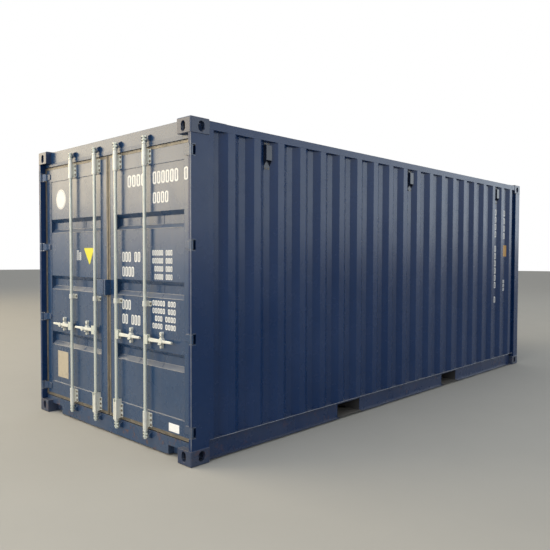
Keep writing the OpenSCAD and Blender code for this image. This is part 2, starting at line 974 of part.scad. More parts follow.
module bar_brackets() {
    top = door_high + sleeve_over;
    low = door_low - sleeve_under;
    mid = door_mid - mid_drop;
    color(galvanised) {
        for (y = [-bar_inner, -bar_outer]) translate([0, y, 0]) {
            bracket(door_high - sleeve_long, top, neck_long,
                door_high - flange_from - flange_long, door_high - flange_from,
                flange_half, door_face);
            bracket(low, door_low + sleeve_long, 0, door_low + flange_from,
                door_low + flange_from + flange_long, flange_half, door_face);
            bracket(mid - mid_tall / 2, mid + mid_tall / 2, 0, mid - mid_tall / 2,
                mid + mid_tall / 2, mid_flange_half, panel_face);
        }
        translate([0, -bar_inner, 0]) bar_guard();
    }
}

// half height of a lever at a distance from its bar
function lever_at(y) = lever_root - (lever_root - lever_tip) * (y - lever_start)
    / (handle_reach - lever_start);

// face of a catch: a disc behind the lever, a ring above and a lobe below
module catch_face() {
    circle(r = catch_disc);
    translate([-catch_bar_half, -catch_down])
        square([2 * catch_bar_half, catch_down + catch_up]);
    translate([0, catch_up]) circle(r = catch_ring);
    translate([0, -catch_down]) circle(r = catch_lobe);
}

// catch behind a handle, with a ledge under the lever
module handle_catch() {
    front_x = panel_face - catch_thick;
    ledge_top = -lever_at(catch_at - ledge_half) - running;
    translate([0, 0, handle_height]) {
        translate([front_x, 0, 0]) along(catch_thick) difference() {
            catch_face();
            translate([0, catch_up]) circle(r = catch_hole);
            translate([0, -catch_down]) circle(r = lobe_hole);
        }
        translate([front_x - ledge_reach, -ledge_half, ledge_top - ledge_thick])
            cube([ledge_reach + past, 2 * ledge_half, ledge_thick]);
    }
}

module handle_catches() {
    color(galvanised) for (y = [-bar_inner, -bar_outer])
        translate([0, y - catch_at, 0]) handle_catch();
}

module box_half(wide) {
    high = door_mid - box_drop + box_tall / 2;
    deep = door_recess - box_front;
    difference() {
        translate([door_face - deep, box_gap, high - box_tall]) cube([deep, wide, box_tall]);
        translate([door_face - deep + box_steel, box_gap - past, high - box_tall - past])
            cube([deep, wide - box_steel + past, box_tall - box_steel + past]);
    }
}

module lock_box_left() {
    color(paint) box_half(box_left);
}

module lock_box_right() {
    color(paint) left() box_half(box_right);
}

// bar with its cams and its clevis, axis at y = 0, handle side towards -Y
module cam_plan() {
    circle(r = bar_radius + cam_collar);
    polygon([[-cam_nose_radius, -cam_nose + cam_nose_radius], [-cam_root, 0], [cam_root, 0],
        [cam_nose_radius, -cam_nose + cam_nose_radius]]);
    translate([0, -cam_nose + cam_nose_radius]) circle(r = cam_nose_radius);
}

module lock_bar() {
    half = cam_tall / 2;
    color(galvanised) translate([bar_x, 0, 0]) {
        translate([0, 0, cam_low - bar_foot])
            cylinder(r = bar_radius, h = cam_high + half - cam_low + bar_foot);
        for (z = [cam_low, cam_high]) for (end = [-half, half - cam_plate])
            translate([0, 0, z + end]) linear_extrude(cam_plate) cam_plan();
        translate([0, 0, handle_height]) {
            for (x = [-clevis_gap - clevis_steel, clevis_gap])
                translate([x, -clevis_reach, -hub_tall / 2])
                cube([clevis_steel, clevis_reach, hub_tall]);
            translate([-clevis_gap - clevis_steel - pivot_head, -pivot, 0]) rotate([0, 90, 0])
                cylinder(r = pivot_radius, h = 2 * (clevis_gap + clevis_steel + pivot_head));
        }
    }
}

// lever from its pivot outwards, flattened, with a round tab before the catch
module handle() {
    color(galvanised) translate([bar_x, 0, handle_height]) {
        translate([-tongue_half, 0, 0]) along(2 * tongue_half) difference() {
            union() {
                translate([-pivot, 0]) circle(r = lever_boss);
                translate([-lever_start - lever_boss, -tongue_root])
                    square([lever_start + lever_boss - pivot, 2 * tongue_root]);
            }
            translate([-pivot, 0]) circle(r = pivot_radius + past);
        }
        intersection() {
            translate([0, -lever_start, 0]) rotate([90, 0, 0])
                cylinder(r1 = lever_root, r2 = lever_tip, h = handle_reach - lever_start);
            translate([-lever_half, -handle_reach, -lever_root])
                cube([2 * lever_half, handle_reach, 2 * lever_root]);
        }
        translate([past - lever_half - tab_steel, 0, 0]) along(tab_steel) difference() {
            translate([-tab_at, -tab_drop]) circle(r = tab_radius);
            translate([-tab_at, -tab_drop - tab_hole_drop]) circle(r = tab_hole);
        }
    }
}

module door_frame_right() {
    door_frame();
}

module door_panel_right() {
    door_panel();
}

module door_gasket_right() {
    door_gasket();
}

module hinge_blades_right() {
    hinge_blades();
}

module bar_brackets_right() {
    bar_brackets();
}

module handle_catches_right() {
    handle_catches();
}

module door_frame_left() {
    left() door_frame();
}

module door_panel_left() {
    left() door_panel();
}

module door_gasket_left() {
    left() door_gasket();
}

module hinge_blades_left() {
    left() hinge_blades();
}

module bar_brackets_left() {
    left() bar_brackets();
}

module handle_catches_left() {
    left() handle_catches();
}

module lock_bar_right_inner() {
    translate([0, -bar_inner, 0]) lock_bar();
}

module lock_bar_right_outer() {
    translate([0, -bar_outer, 0]) lock_bar();
}

module lock_bar_left_inner() {
    left() translate([0, -bar_inner, 0]) lock_bar();
}

module lock_bar_left_outer() {
    left() translate([0, -bar_outer, 0]) lock_bar();
}

module handle_right_inner() {
    translate([0, -bar_inner, 0]) handle();
}

module handle_right_outer() {
    translate([0, -bar_outer, 0]) handle();
}

module handle_left_inner() {
    left() translate([0, -bar_inner, 0]) handle();
}

module handle_left_outer() {
    left() translate([0, -bar_outer, 0]) handle();
}

bottom_corner_fittings();
top_corner_fittings();
rear_posts();
front_posts();
hinge_lugs();
hinge_pins();
bottom_side_rails();
bottom_rail_webs();
top_side_rails();
rear_sill();
rear_header();
upper_cam_keepers();
lower_cam_keepers();
front_sill();
front_header();
front_wall();
side_wall_left();
side_wall_right();
roof_panel();
roof_corner_plates();
crossmembers();
fork_pocket_webs();
fork_pocket_plates();
floor_boards();
floor_centre_rail();
side_vents();
door_frame_left();
door_panel_left();
door_gasket_left();
hinge_blades_left();
bar_brackets_left();
handle_catches_left();
lock_box_left();
door_frame_right();
door_panel_right();
door_gasket_right();
hinge_blades_right();
bar_brackets_right();
handle_catches_right();
lock_box_right();
lock_bar_left_outer();
lock_bar_left_inner();
lock_bar_right_inner();
lock_bar_right_outer();
handle_left_outer();
handle_left_inner();
handle_right_inner();
handle_right_outer();
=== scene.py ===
import json
import math
import random

import bmesh
import bpy
from bpy.props import FloatProperty, FloatVectorProperty, PointerProperty
from mathutils import Matrix, Vector


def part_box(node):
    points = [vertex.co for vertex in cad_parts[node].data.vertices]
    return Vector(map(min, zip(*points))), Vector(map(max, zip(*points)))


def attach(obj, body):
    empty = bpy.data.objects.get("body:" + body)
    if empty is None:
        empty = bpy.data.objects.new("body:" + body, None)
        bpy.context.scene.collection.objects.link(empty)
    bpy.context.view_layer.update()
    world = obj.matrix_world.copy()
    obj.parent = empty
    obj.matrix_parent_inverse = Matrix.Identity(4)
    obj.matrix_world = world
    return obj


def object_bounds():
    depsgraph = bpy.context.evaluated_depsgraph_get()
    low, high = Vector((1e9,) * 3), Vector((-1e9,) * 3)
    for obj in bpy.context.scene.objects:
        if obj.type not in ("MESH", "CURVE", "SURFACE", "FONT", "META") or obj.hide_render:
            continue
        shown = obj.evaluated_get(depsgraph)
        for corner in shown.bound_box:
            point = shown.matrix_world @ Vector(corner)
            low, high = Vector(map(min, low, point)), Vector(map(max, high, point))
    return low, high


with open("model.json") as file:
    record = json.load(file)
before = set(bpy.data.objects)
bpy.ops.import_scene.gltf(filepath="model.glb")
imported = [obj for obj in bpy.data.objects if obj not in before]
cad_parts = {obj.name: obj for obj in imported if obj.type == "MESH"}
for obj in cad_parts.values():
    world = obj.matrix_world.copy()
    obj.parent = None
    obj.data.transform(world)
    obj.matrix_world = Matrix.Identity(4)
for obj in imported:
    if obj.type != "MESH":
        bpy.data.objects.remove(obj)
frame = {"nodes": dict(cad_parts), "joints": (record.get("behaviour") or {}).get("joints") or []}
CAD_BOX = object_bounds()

bl_info = {
    "name": "Freight container dressing",
    "version": (1, 0, 0),
    "blender": (4, 5, 0),
    "location": "View3D > Sidebar > Container",
    "description": "Paint, fasteners, seams, gaskets and bare plates for a freight container",
    "category": "Object",
}


def leaf_places(node):
    """Face, gap edge, hinge edge, foot and head of a node on the right leaf."""
    low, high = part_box(node)
    return low.x, -high.y, -low.y, low.z, high.z


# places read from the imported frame, in metres
REAR = CAD_BOX[0].x
FRONT, SIDE, TOP = CAD_BOX[1]
DOOR_FACE, DOOR_GAP, DOOR_EDGE, DOOR_LOW, DOOR_HIGH = leaf_places("door_frame_right")
PANEL_FACE, PANEL_GAP, PANEL_EDGE, PANEL_LOW, PANEL_HIGH = leaf_places("door_panel_right")
DOOR_MIDDLE = (DOOR_LOW + DOOR_HIGH) / 2
JOINTS = {joint["name"]: joint["pos_m"] for joint in frame["joints"]}
BAR_AXIS_X = JOINTS["left_inner_bar_turn"][0]
BAR_AT = {where: JOINTS[f"left_{where}_bar_turn"][1] for where in ("inner", "outer")}
HANDLE_AT = JOINTS["left_inner_handle_lift"][2]
RAIL_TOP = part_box("bottom_side_rails")[1].z - 0.002

# sizes that the solids were made with, in metres
SHEET_INSET = 0.004
WALL_DEEP = 0.036
WALL_FLAT = SIDE - SHEET_INSET - WALL_DEEP
HINGE_MARGIN = 0.083
HINGES = [DOOR_LOW + HINGE_MARGIN + i * (DOOR_HIGH - DOOR_LOW - 2 * HINGE_MARGIN) / 3
    for i in range(4)]
CATCH_FROM_BAR = 0.190
# troughs of a door panel: their middles from the door's, and half their width
TROUGHS = (-0.553, 0.0, 0.553)
TROUGH_FLOOR = 0.033
TROUGH_MOUTH = 0.067
TROUGH_DEEP = 0.034
# edge of a hinge blade: reach from its pin and rise from its middle
BLADE_EDGE = ((0.038, 0.034), (0.108, 0.0255), (0.121, 0.014), (0.121, -0.014),
    (0.108, -0.0255), (0.038, -0.034))

# how far films and fasteners sink into what carries them
FILM_SUNK = -0.0004
HEAD_SUNK = -0.0005
SIDES = {"left": 1, "right": -1}
OUT = Vector((-1, 0, 0))
UP = Vector((0, 0, 1))
ALONG = Vector((1, 0, 0))


# settings

def colour_setting(name, description, default):
    return FloatVectorProperty(name=name, description=description, subtype="COLOR", size=3,
        min=0, max=1, default=default)


def length_setting(name, description, default, low, high):
    return FloatProperty(name=name, description=description, unit="LENGTH", min=low,
        max=high, default=default)


class FinishSettings(bpy.types.PropertyGroup):
    door_paint: colour_setting(
        "Door paint", "Paint of the doors and the end frame", (0.010, 0.050, 0.132))
    wall_paint: colour_setting(
        "Wall paint", "Paint of the walls, rails and posts", (0.001, 0.026, 0.104))
    fitting_paint: colour_setting(
        "Fitting paint", "Paint of the cast corner fittings", (0.016, 0.036, 0.094))
    gear_colour: colour_setting(
        "Door gear", "Zinc coat of the brackets, handles and catches", (0.84, 0.84, 0.76))
    bar_colour: colour_setting(
        "Lock bars", "Zinc coat of the lock bars", (0.66, 0.69, 0.62))
    rubber_colour: colour_setting(
        "Gasket", "Stained rubber of the door gaskets", (0.130, 0.108, 0.078))
    underbody_colour: colour_setting(
        "Underbody", "Bitumen coat under the floor", (0.020, 0.022, 0.028))
    timber_colour: colour_setting(
        "Floor timber", "Varnished plywood of the floor", (0.30, 0.17, 0.085))
    marking_colour: colour_setting(
        "Marking film", "White film of the figures", (0.80, 0.80, 0.78))
    sign_colour: colour_setting(
        "Sign film", "Yellow film of the bare three-cornered sign", (0.80, 0.72, 0.015))
    plate_colour: colour_setting(
        "Data plate", "Lacquer of the riveted plate", (0.52, 0.45, 0.34))
    dust: FloatProperty(
        name="Dust", description="Amount of pale dust on the paint",
        default=0.16, min=0, max=1, subtype="FACTOR")
    wear: FloatProperty(
        name="Edge wear", description="Amount of worn paint along the edges",
        default=0.35, min=0, max=1, subtype="FACTOR")


class GearSettings(bpy.types.PropertyGroup):
    bolt_radius: length_setting(
        "Bolt radius", "Radius of the bolt heads on the flanges", 0.0085, 0.004, 0.012)
    bolt_height: length_setting(
        "Bolt height", "Height of the bolt heads", 0.006, 0.002, 0.008)
    rivet_radius: length_setting(
        "Rivet radius", "Radius of the plate rivets", 0.005, 0.002, 0.008)
    seam_radius: length_setting(
        "Weld radius", "Radius of the weld seams", 0.0035, 0.001, 0.006)
    lip_radius: length_setting(
        "Gasket lip", "Radius of the gasket's round lip", 0.0034, 0.001, 0.005)
    collar_radius: length_setting(
        "Collar radius", "Outer radius of the collars on the lock bars", 0.0195, 0.016,
        0.0205)


class MarkingSettings(bpy.types.PropertyGroup):
    film: length_setting(
        "Film thickness", "Thickness of the marking film", 0.0006, 0.0002, 0.002)
    large: length_setting(
        "Large figures", "Height of the large figures on the door", 0.100, 0.05, 0.12)
    medium: length_setting(
        "Medium figures", "Height of the medium figures on the door", 0.085, 0.04, 0.1)
    small: length_setting(
        "Small figures", "Height of the small figures on the door", 0.044, 0.02, 0.06)
    disc: length_setting(
        "Disc radius", "Radius of the bare round sign", 0.096, 0.05, 0.12)


class StageSettings(bpy.types.PropertyGroup):
    floor_colour: colour_setting("Floor", "Colour of the studio floor", (0.46, 0.44, 0.395))
    sky: FloatProperty(
        name="Sky light", description="Strength of the even light from all round",
        default=0.55, min=0, max=3)
    lamp: FloatProperty(
        name="Lamp", description="Strength of the soft lamps",
        default=1.0, min=0, max=10)
    lens: FloatProperty(
        name="Lens", description="Focal length of the camera in millimetres",
        default=39.2, min=10, max=200)


# mesh helpers

def basis(normal, hint=UP):
    """Two directions across a normal: right and up as seen from outside."""
    normal = normal.normalized()
    if abs(normal.dot(hint)) > 0.95:
        hint = ALONG
    right = hint.cross(normal).normalized()
    return right, normal.cross(right)


def placed(at, normal, hint=UP):
    """Matrix whose Z is the normal, X the right and Y the up seen from outside."""
    right, up = basis(normal, hint)
    turn = Matrix((right, up, normal.normalized())).transposed().to_4x4()
    return Matrix.Translation(at) @ turn


def linked(name, data):
    """A new object in the scene."""
    made = bpy.data.objects.new(name, data)
    bpy.context.scene.collection.objects.link(made)
    return made


def mesh_object(name, bm, finish):
    """Turns a bmesh into an object of one material."""
    mesh = bpy.data.meshes.new(name)
    bm.to_mesh(mesh)
    bm.free()
    mesh.materials.append(MATERIALS[finish])
    return linked(name, mesh)


def make_piece(name, bm, finish, body, smooth=None):
    """Turns a bmesh into a named piece that rides on a body."""
    bmesh.ops.recalc_face_normals(bm, faces=bm.faces)
    piece = mesh_object(name, bm, finish)
    if smooth:
        piece.data.shade_smooth()
        piece.data.set_sharp_from_angle(angle=math.radians(smooth))
    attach(piece, body)


def circle(radius, sides):
    return [(radius * math.cos(math.tau * k / sides), radius * math.sin(math.tau * k / sides))
        for k in range(sides)]


def skin_rings(bm, rings, capped=True):
    """Faces between rings with the same number of corners, and over the two ends."""
    for one, two in zip(rings, rings[1:]):
        for k in range(len(one)):
            nxt = (k + 1) % len(one)
            bm.faces.new((one[k], one[nxt], two[nxt], two[k]))
    if capped:
        bm.faces.new(list(reversed(rings[0])))
        bm.faces.new(rings[-1])


def turned(bm, profile, at, normal, sides=16, hint=UP):
    """Adds a closed turned form. The profile lists radius and height."""
    frame_at = placed(at, normal, hint)
    skin_rings(bm, [[bm.verts.new(frame_at @ Vector((a, b, height)))
        for a, b in circle(radius, sides)] for radius, height in profile])


def add_bolt(bm, at, normal, radius, height, turn):
    """Hexagonal head with a chamfered top on a thin washer."""
    washer = 0.25 * height
    turned(bm, [(1.35 * radius, HEAD_SUNK), (1.35 * radius, 0.7 * washer),
        (1.25 * radius, washer)], at, normal)
    hint = Matrix.Rotation(turn, 3, normal) @ UP if abs(normal.z) < 0.9 else ALONG
    turned(bm, [(radius, 0.5 * washer), (radius, 0.82 * height), (0.82 * radius, height)],
        at, normal, sides=6, hint=hint)


def add_rivet(bm, at, normal, radius):
    """Low domed head."""
    turned(bm, [(radius, HEAD_SUNK), (radius, 0.1 * radius), (0.86 * radius, 0.34 * radius),
        (0.55 * radius, 0.52 * radius), (0.18 * radius, 0.6 * radius)], at, normal, sides=12)


def add_seam(bm, start, end, radius, rng, pitch=0.011):
    """Weld seam from start to end: a rod with small uneven ripples."""
    start = Vector(start)
    run = Vector(end) - start
    steps = max(2, round(run.length / pitch))
    direction = run.normalized()
    right, up = basis(direction, UP if abs(direction.z) < 0.9 else ALONG)
    rings = []
    for i in range(steps + 1):
        at = start + run * (i / steps)
        swell = radius * (0.86 + 0.14 * (i % 2) + 0.12 * rng.random())
        if i in (0, steps):
            swell *= 0.45
        rings.append([bm.verts.new(at + swell * (right * a + up * b))
            for a, b in circle(1.0, 8)])
    skin_rings(bm, rings)


def rounded_loop(wide, tall, corner, at=(0.0, 0.0), steps=4):
    """Outline of a rectangle with round corners about a middle."""
    points = []
    for cx, cy, start in ((1, 1, 0), (-1, 1, 90), (-1, -1, 180), (1, -1, 270)):
        for i in range(steps + 1):
            angle = math.radians(start + 90 * i / steps)
            points.append((at[0] + (cx * (wide / 2 - corner) + corner * math.cos(angle)),
                at[1] + (cy * (tall / 2 - corner) + corner * math.sin(angle))))
    return points


def add_prism(bm, outer, place, low, high, hole=None):
    """Closed prism over an outline, with an optional hole of as many points."""
    ring = lambda loop, w: [bm.verts.new(place(u, v, w)) for u, v in loop]
    tops, bottoms = ring(outer, high), ring(outer, low)
    if hole is None:
        bm.faces.new(tops)
        bm.faces.new(list(reversed(bottoms)))
    else:
        inner_tops, inner_bottoms = ring(hole, high), ring(hole, low)
    for k in range(len(outer)):
        nxt = (k + 1) % len(outer)
        bm.faces.new((bottoms[k], bottoms[nxt], tops[nxt], tops[k]))
        if hole is not None:
            bm.faces.new((inner_bottoms[nxt], inner_bottoms[k], inner_tops[k],
                inner_tops[nxt]))
            bm.faces.new((tops[k], tops[nxt], inner_tops[nxt], inner_tops[k]))
            bm.faces.new((bottoms[nxt], bottoms[k], inner_bottoms[k], inner_bottoms[nxt]))


def add_frame(bm, low, high, section, place):
    """Closed mitred frame round a rectangle. The section lists outward reach and height."""
    rings = []
    for reach, height in section:
        corners = ((low[0] - reach, low[1] - reach), (high[0] + reach, low[1] - reach),
            (high[0] + reach, high[1] + reach), (low[0] - reach, high[1] + reach))
        rings.append([bm.verts.new(place(u, v, height)) for u, v in corners])
    skin_rings(bm, rings + rings[:1], capped=False)


def door_place(depth, sign=-1):
    """Places u across from the middle, v up and w out on a leaf, sign -1 for the right."""
    return lambda u, v, w: Vector((depth - w, sign * u, v))


def wall_place(sign):
    """Places u along X, v up and w out on a side wall, sign -1 for the right side."""
    return lambda u, v, w: Vector((u, sign * (WALL_FLAT + w), v))


# shader helpers

class Shader:
    """A node tree with short calls to add and join nodes."""

    def __init__(self, tree):
        self.tree = tree

    def add(self, kind, inputs=None, **values):
        node = self.tree.nodes.new(kind)
        for key, value in values.items():
            setattr(node, key, value)
        for key, value in (inputs or {}).items():
            if isinstance(value, bpy.types.NodeSocket):
                self.tree.links.new(value, node.inputs[key])
            else:
                node.inputs[key].default_value = value
        return node

    def math(self, operation, one, two=0.0, clamp=False):
        return self.add("ShaderNodeMath", {0: one, 1: two}, operation=operation,
            use_clamp=clamp).outputs[0]

    def join(self, source, node, socket):
        self.tree.links.new(source, node.inputs[socket])

    def mix(self, factor, one, two):
        return self.add("ShaderNodeMix", {"Factor": factor, 6: one, 7: two},
            data_type="RGBA").outputs[2]

    def span(self, value, low, high, new_low=0.0, new_high=1.0):
        return self.add("ShaderNodeMapRange", {"Value": value, "From Min": low,
            "From Max": high, "To Min": new_low, "To Max": new_high}).outputs[0]

    def rise(self, vector):
        return self.add("ShaderNodeSeparateXYZ", {0: vector}).outputs["Z"]

    def stretched(self, vector, scale):
        return self.add("ShaderNodeVectorMath", {0: vector, 1: scale},
            operation="MULTIPLY").outputs[0]

    def noise(self, vector, scale, detail=3.0, rough=0.5):
        return self.add("ShaderNodeTexNoise", {"Vector": vector, "Scale": scale,
            "Detail": detail, "Roughness": rough}).outputs["Fac"]


# the node groups and the materials, by name
GROUPS = {}
MATERIALS = {}

# tones of what lies on the finishes, and of what shows where they are worn
DUST = (0.26, 0.25, 0.225, 1.0)
RAIN_RUN = (0.13, 0.135, 0.145, 1.0)
FADED_BLUE = (0.07, 0.085, 0.125, 1.0)
WORN_STEEL = (0.20, 0.20, 0.22, 1.0)
DARK_RUST = (0.055, 0.022, 0.010, 1.0)
BRIGHT_RUST = (0.26, 0.105, 0.040, 1.0)
GRIME = (0.24, 0.22, 0.17, 1.0)
RUBBED_ZINC = (0.80, 0.80, 0.76, 1.0)
CHALKED_RUBBER = (0.30, 0.25, 0.18, 1.0)
ROAD_DUST = (0.22, 0.20, 0.17, 1.0)
SCUFFED_TIMBER = (0.36, 0.30, 0.23, 1.0)
SCRATCH = (0.10, 0.12, 0.18, 1.0)


def colour(rgb, part=1.0):
    """A colour for a socket, darker or paler by a factor."""
    return (part * rgb[0], part * rgb[1], part * rgb[2], 1.0)


def start_group(name, inputs, outputs):
    """Makes a node group with named sockets. Returns its shader, inputs and output node."""
    tree = GROUPS[name] = bpy.data.node_groups.new(name, "ShaderNodeTree")
    kinds = {"value": "NodeSocketFloat", "colour": "NodeSocketColor",
        "vector": "NodeSocketVector"}
    for label, kind in inputs.items():
        tree.interface.new_socket(name=label, in_out="INPUT", socket_type=kinds[kind])
    for label, kind in outputs.items():
        tree.interface.new_socket(name=label, in_out="OUTPUT", socket_type=kinds[kind])
    shader = Shader(tree)
    start = shader.add("NodeGroupInput").outputs
    end = shader.add("NodeGroupOutput")
    return shader, start, end


def edge_wear_group():
    """Mask of worn edges: where the rounded normal leaves the flat one."""
    shader, start, end = start_group("Edge wear",
        {"Vector": "vector", "Width": "value", "Amount": "value"}, {"Mask": "value"})
    bevel = shader.add("ShaderNodeBevel", {"Radius": start["Width"]}, samples=4)
    flat = shader.add("ShaderNodeNewGeometry").outputs["Normal"]
    match = shader.add("ShaderNodeVectorMath", {0: bevel.outputs[0], 1: flat},
        operation="DOT_PRODUCT").outputs["Value"]
    edge = shader.span(match, 0.995, 0.90)
    grit = shader.span(shader.noise(start["Vector"], 38.0, 5.0, 0.65), 0.42, 0.62)
    mask = shader.math("MULTIPLY", edge, grit, clamp=True)
    mask = shader.math("MULTIPLY", mask, start["Amount"], clamp=True)
    shader.join(mask, end, "Mask")


def dust_group():
    """Mask of dust: on what faces up, low on the walls and in soft runs."""
    shader, start, end = start_group("Dust and runs",
        {"Vector": "vector", "Amount": "value"}, {"Mask": "value", "Runs": "value"})
    facing = shader.rise(shader.add("ShaderNodeNewGeometry").outputs["Normal"])
    top = shader.span(facing, 0.35, 0.95, 0.0, 0.75)
    low = shader.span(shader.rise(start["Vector"]), 0.55, 0.05, 0.0, 0.35)
    cloud = shader.span(shader.noise(start["Vector"], 2.6, 5.0, 0.6), 0.35, 0.68)
    runs = shader.noise(shader.stretched(start["Vector"], (9.0, 9.0, 0.55)), 1.6, 4.0, 0.6)
    runs = shader.span(runs, 0.46, 0.72)
    both = shader.math("ADD", shader.math("ADD", top, low), 0.05)
    mask = shader.math("MULTIPLY", both, shader.math("ADD", cloud, 0.35))
    mask = shader.math("MULTIPLY", mask, start["Amount"], clamp=True)
    shader.join(mask, end, "Mask")
    shader.join(shader.math("MULTIPLY", runs, start["Amount"], clamp=True), end, "Runs")


def paint_film_group():
    """Paint colour with slow changes of tone, and the height of its orange peel."""
    shader, start, end = start_group("Paint film",
        {"Vector": "vector", "Colour": "colour", "Fade": "value"},
        {"Colour": "colour", "Roughness": "value", "Height": "value"})
    slow = shader.noise(start["Vector"], 0.9, 4.0, 0.55)
    tone = shader.span(slow, 0.3, 0.7, 0.86, 1.14)
    fine = shader.noise(start["Vector"], 24.0, 4.0, 0.6)
    tone = shader.math("MULTIPLY", tone, shader.span(fine, 0.3, 0.7, 0.95, 1.05))
    hue = shader.add("ShaderNodeHueSaturation", {"Saturation":
        shader.span(slow, 0.3, 0.7, 1.04, 0.92), "Value": tone, "Color": start["Colour"]})
    faded = shader.mix(shader.math("MULTIPLY", start["Fade"],
        shader.span(shader.noise(start["Vector"], 1.7, 3.0), 0.4, 0.75), clamp=True),
        hue.outputs[0], FADED_BLUE)
    rough = shader.span(shader.noise(start["Vector"], 5.0, 5.0, 0.6), 0.3, 0.7, 0.22, 0.30)
    peel = shader.noise(start["Vector"], 260.0, 2.0)
    waves = shader.noise(start["Vector"], 2.6, 0.5)
    height = shader.math("ADD", shader.math("MULTIPLY", peel, 0.02), waves)
    shader.join(faded, end, "Colour")
    shader.join(rough, end, "Roughness")
    shader.join(height, end, "Height")


def rust_group():
    """Grainy colour of rust."""
    shader, start, end = start_group("Rust", {"Vector": "vector"}, {"Colour": "colour"})
    grain = shader.noise(start["Vector"], 60.0, 6.0, 0.7)
    tone = shader.mix(shader.span(grain, 0.3, 0.7), DARK_RUST, BRIGHT_RUST)
    shader.join(tone, end, "Colour")


def new_material(name, roughness=0.5, metallic=0.0):
    """An empty procedural material: its shader helper, Principled node and coordinates."""
    material = bpy.data.materials.new(name)
    material.use_nodes = True
    tree = material.node_tree
    principled = tree.nodes["Principled BSDF"]
    principled.inputs["Roughness"].default_value = roughness
    principled.inputs["Metallic"].default_value = metallic
    shader = Shader(tree)
    where = shader.add("ShaderNodeTexCoord").outputs["Object"]
    MATERIALS[name] = material
    return shader, principled, where


def use_group(shader, name, **inputs):
    return shader.add("ShaderNodeGroup", inputs, node_tree=GROUPS[name]).outputs


def surface(shader, principled, tone, rough, height, distance, rounding, strength):
    """Joins tone and roughness, and a bump over edges that look rounded by a radius."""
    shader.join(tone, principled, "Base Color")
    shader.join(rough, principled, "Roughness")
    node = shader.add("ShaderNodeBump", {"Height": height, "Distance": distance,
        "Strength": strength})
    if rounding:
        rounded = shader.add("ShaderNodeBevel", {"Radius": rounding}, samples=4)
        shader.join(rounded.outputs[0], node, "Normal")
    shader.join(node.outputs[0], principled, "Normal")


def paint_material(name, base, dust, wear, fade=0.25, rounding=0.002, low_rust=0.0,
        shine=0.5, ripple=0.55):
    """Satin paint on sheet steel with dust, runs and worn edges."""
    shader, principled, where = new_material(name)
    film = use_group(shader, "Paint film", Vector=where, Colour=colour(base), Fade=fade)
    dirt = use_group(shader, "Dust and runs", Vector=where, Amount=dust)
    worn = use_group(shader, "Edge wear", Vector=where, Width=1.6 * rounding, Amount=wear)
    rust = use_group(shader, "Rust", Vector=where)
    tone = shader.mix(shader.math("MULTIPLY", dirt["Runs"], 0.22), film["Colour"], RAIN_RUN)
    tone = shader.mix(dirt["Mask"], tone, DUST)
    tone = shader.mix(shader.math("MULTIPLY", worn["Mask"], 0.85), tone,
        shader.mix(0.5, rust["Colour"], WORN_STEEL))
    if low_rust:
        low = shader.span(shader.rise(where), 0.22, 0.10)
        spots = shader.span(shader.noise(where, 16.0, 6.0, 0.7), 0.56, 0.66)
        stain = shader.math("MULTIPLY", shader.math("MULTIPLY", low, spots), low_rust,
            clamp=True)
        tone = shader.mix(stain, tone, rust["Colour"])
    rough = shader.math("ADD", film["Roughness"], shader.math("MULTIPLY", dirt["Mask"], 0.4),
        clamp=True)
    principled.inputs["Specular IOR Level"].default_value = shine
    surface(shader, principled, tone, rough, film["Height"], 0.0030, rounding, ripple)


def gear_material(name, base):
    """Zinc coat with a faint spangle, grime in patches and small rust spots."""
    shader, principled, where = new_material(name, 0.42, 0.12)
    spangle = shader.add("ShaderNodeTexVoronoi", {"Vector": where, "Scale": 95.0})
    tone = shader.mix(shader.span(spangle.outputs["Distance"], 0.0, 0.7, 0.0, 0.16),
        colour(base), colour(base, 0.82))
    grime = shader.span(shader.noise(where, 11.0, 6.0, 0.65), 0.54, 0.80, 0.0, 0.35)
    tone = shader.mix(grime, tone, GRIME)
    worn = use_group(shader, "Edge wear", Vector=where, Width=0.003, Amount=0.5)
    tone = shader.mix(worn["Mask"], tone, RUBBED_ZINC)
    rust = use_group(shader, "Rust", Vector=where)
    spots = shader.span(shader.noise(where, 34.0, 5.0, 0.7), 0.66, 0.72, 0.0, 0.7)
    tone = shader.mix(spots, tone, rust["Colour"])
    rough = shader.span(grime, 0.0, 0.35, 0.30, 0.60)
    height = shader.math("ADD", spangle.outputs["Distance"], shader.noise(where, 120.0, 3.0))
    surface(shader, principled, tone, rough, height, 0.0004, 0.0016, 0.5)


def rubber_material(name, base):
    """Gasket rubber stained brown, with dust and fine cracks."""
    shader, principled, where = new_material(name, 0.45)
    principled.inputs["Specular IOR Level"].default_value = 0.75
    stain = shader.noise(shader.stretched(where, (1.0, 1.0, 0.25)), 9.0, 6.0, 0.65)
    tone = shader.mix(shader.span(stain, 0.38, 0.66), colour(base), colour(base, 0.45))
    pale = shader.span(shader.noise(where, 30.0, 4.0), 0.5, 0.75, 0.0, 0.5)
    tone = shader.mix(pale, tone, CHALKED_RUBBER)
    surface(shader, principled, tone, shader.span(stain, 0.3, 0.7, 0.34, 0.5),
        shader.noise(where, 180.0, 4.0), 0.0006, 0.0015, 0.6)


def underbody_material(name, base):
    """Thick bitumen coat with a grainy skin and road dust."""
    shader, principled, where = new_material(name, 0.7)
    grain = shader.noise(where, 85.0, 5.0, 0.6)
    dirt = use_group(shader, "Dust and runs", Vector=where, Amount=0.5)
    tone = shader.mix(shader.span(grain, 0.35, 0.7), colour(base), colour(base, 2.2))
    tone = shader.mix(dirt["Mask"], tone, ROAD_DUST)
    surface(shader, principled, tone, shader.span(grain, 0.3, 0.7, 0.55, 0.85), grain,
        0.0012, 0.002, 0.7)


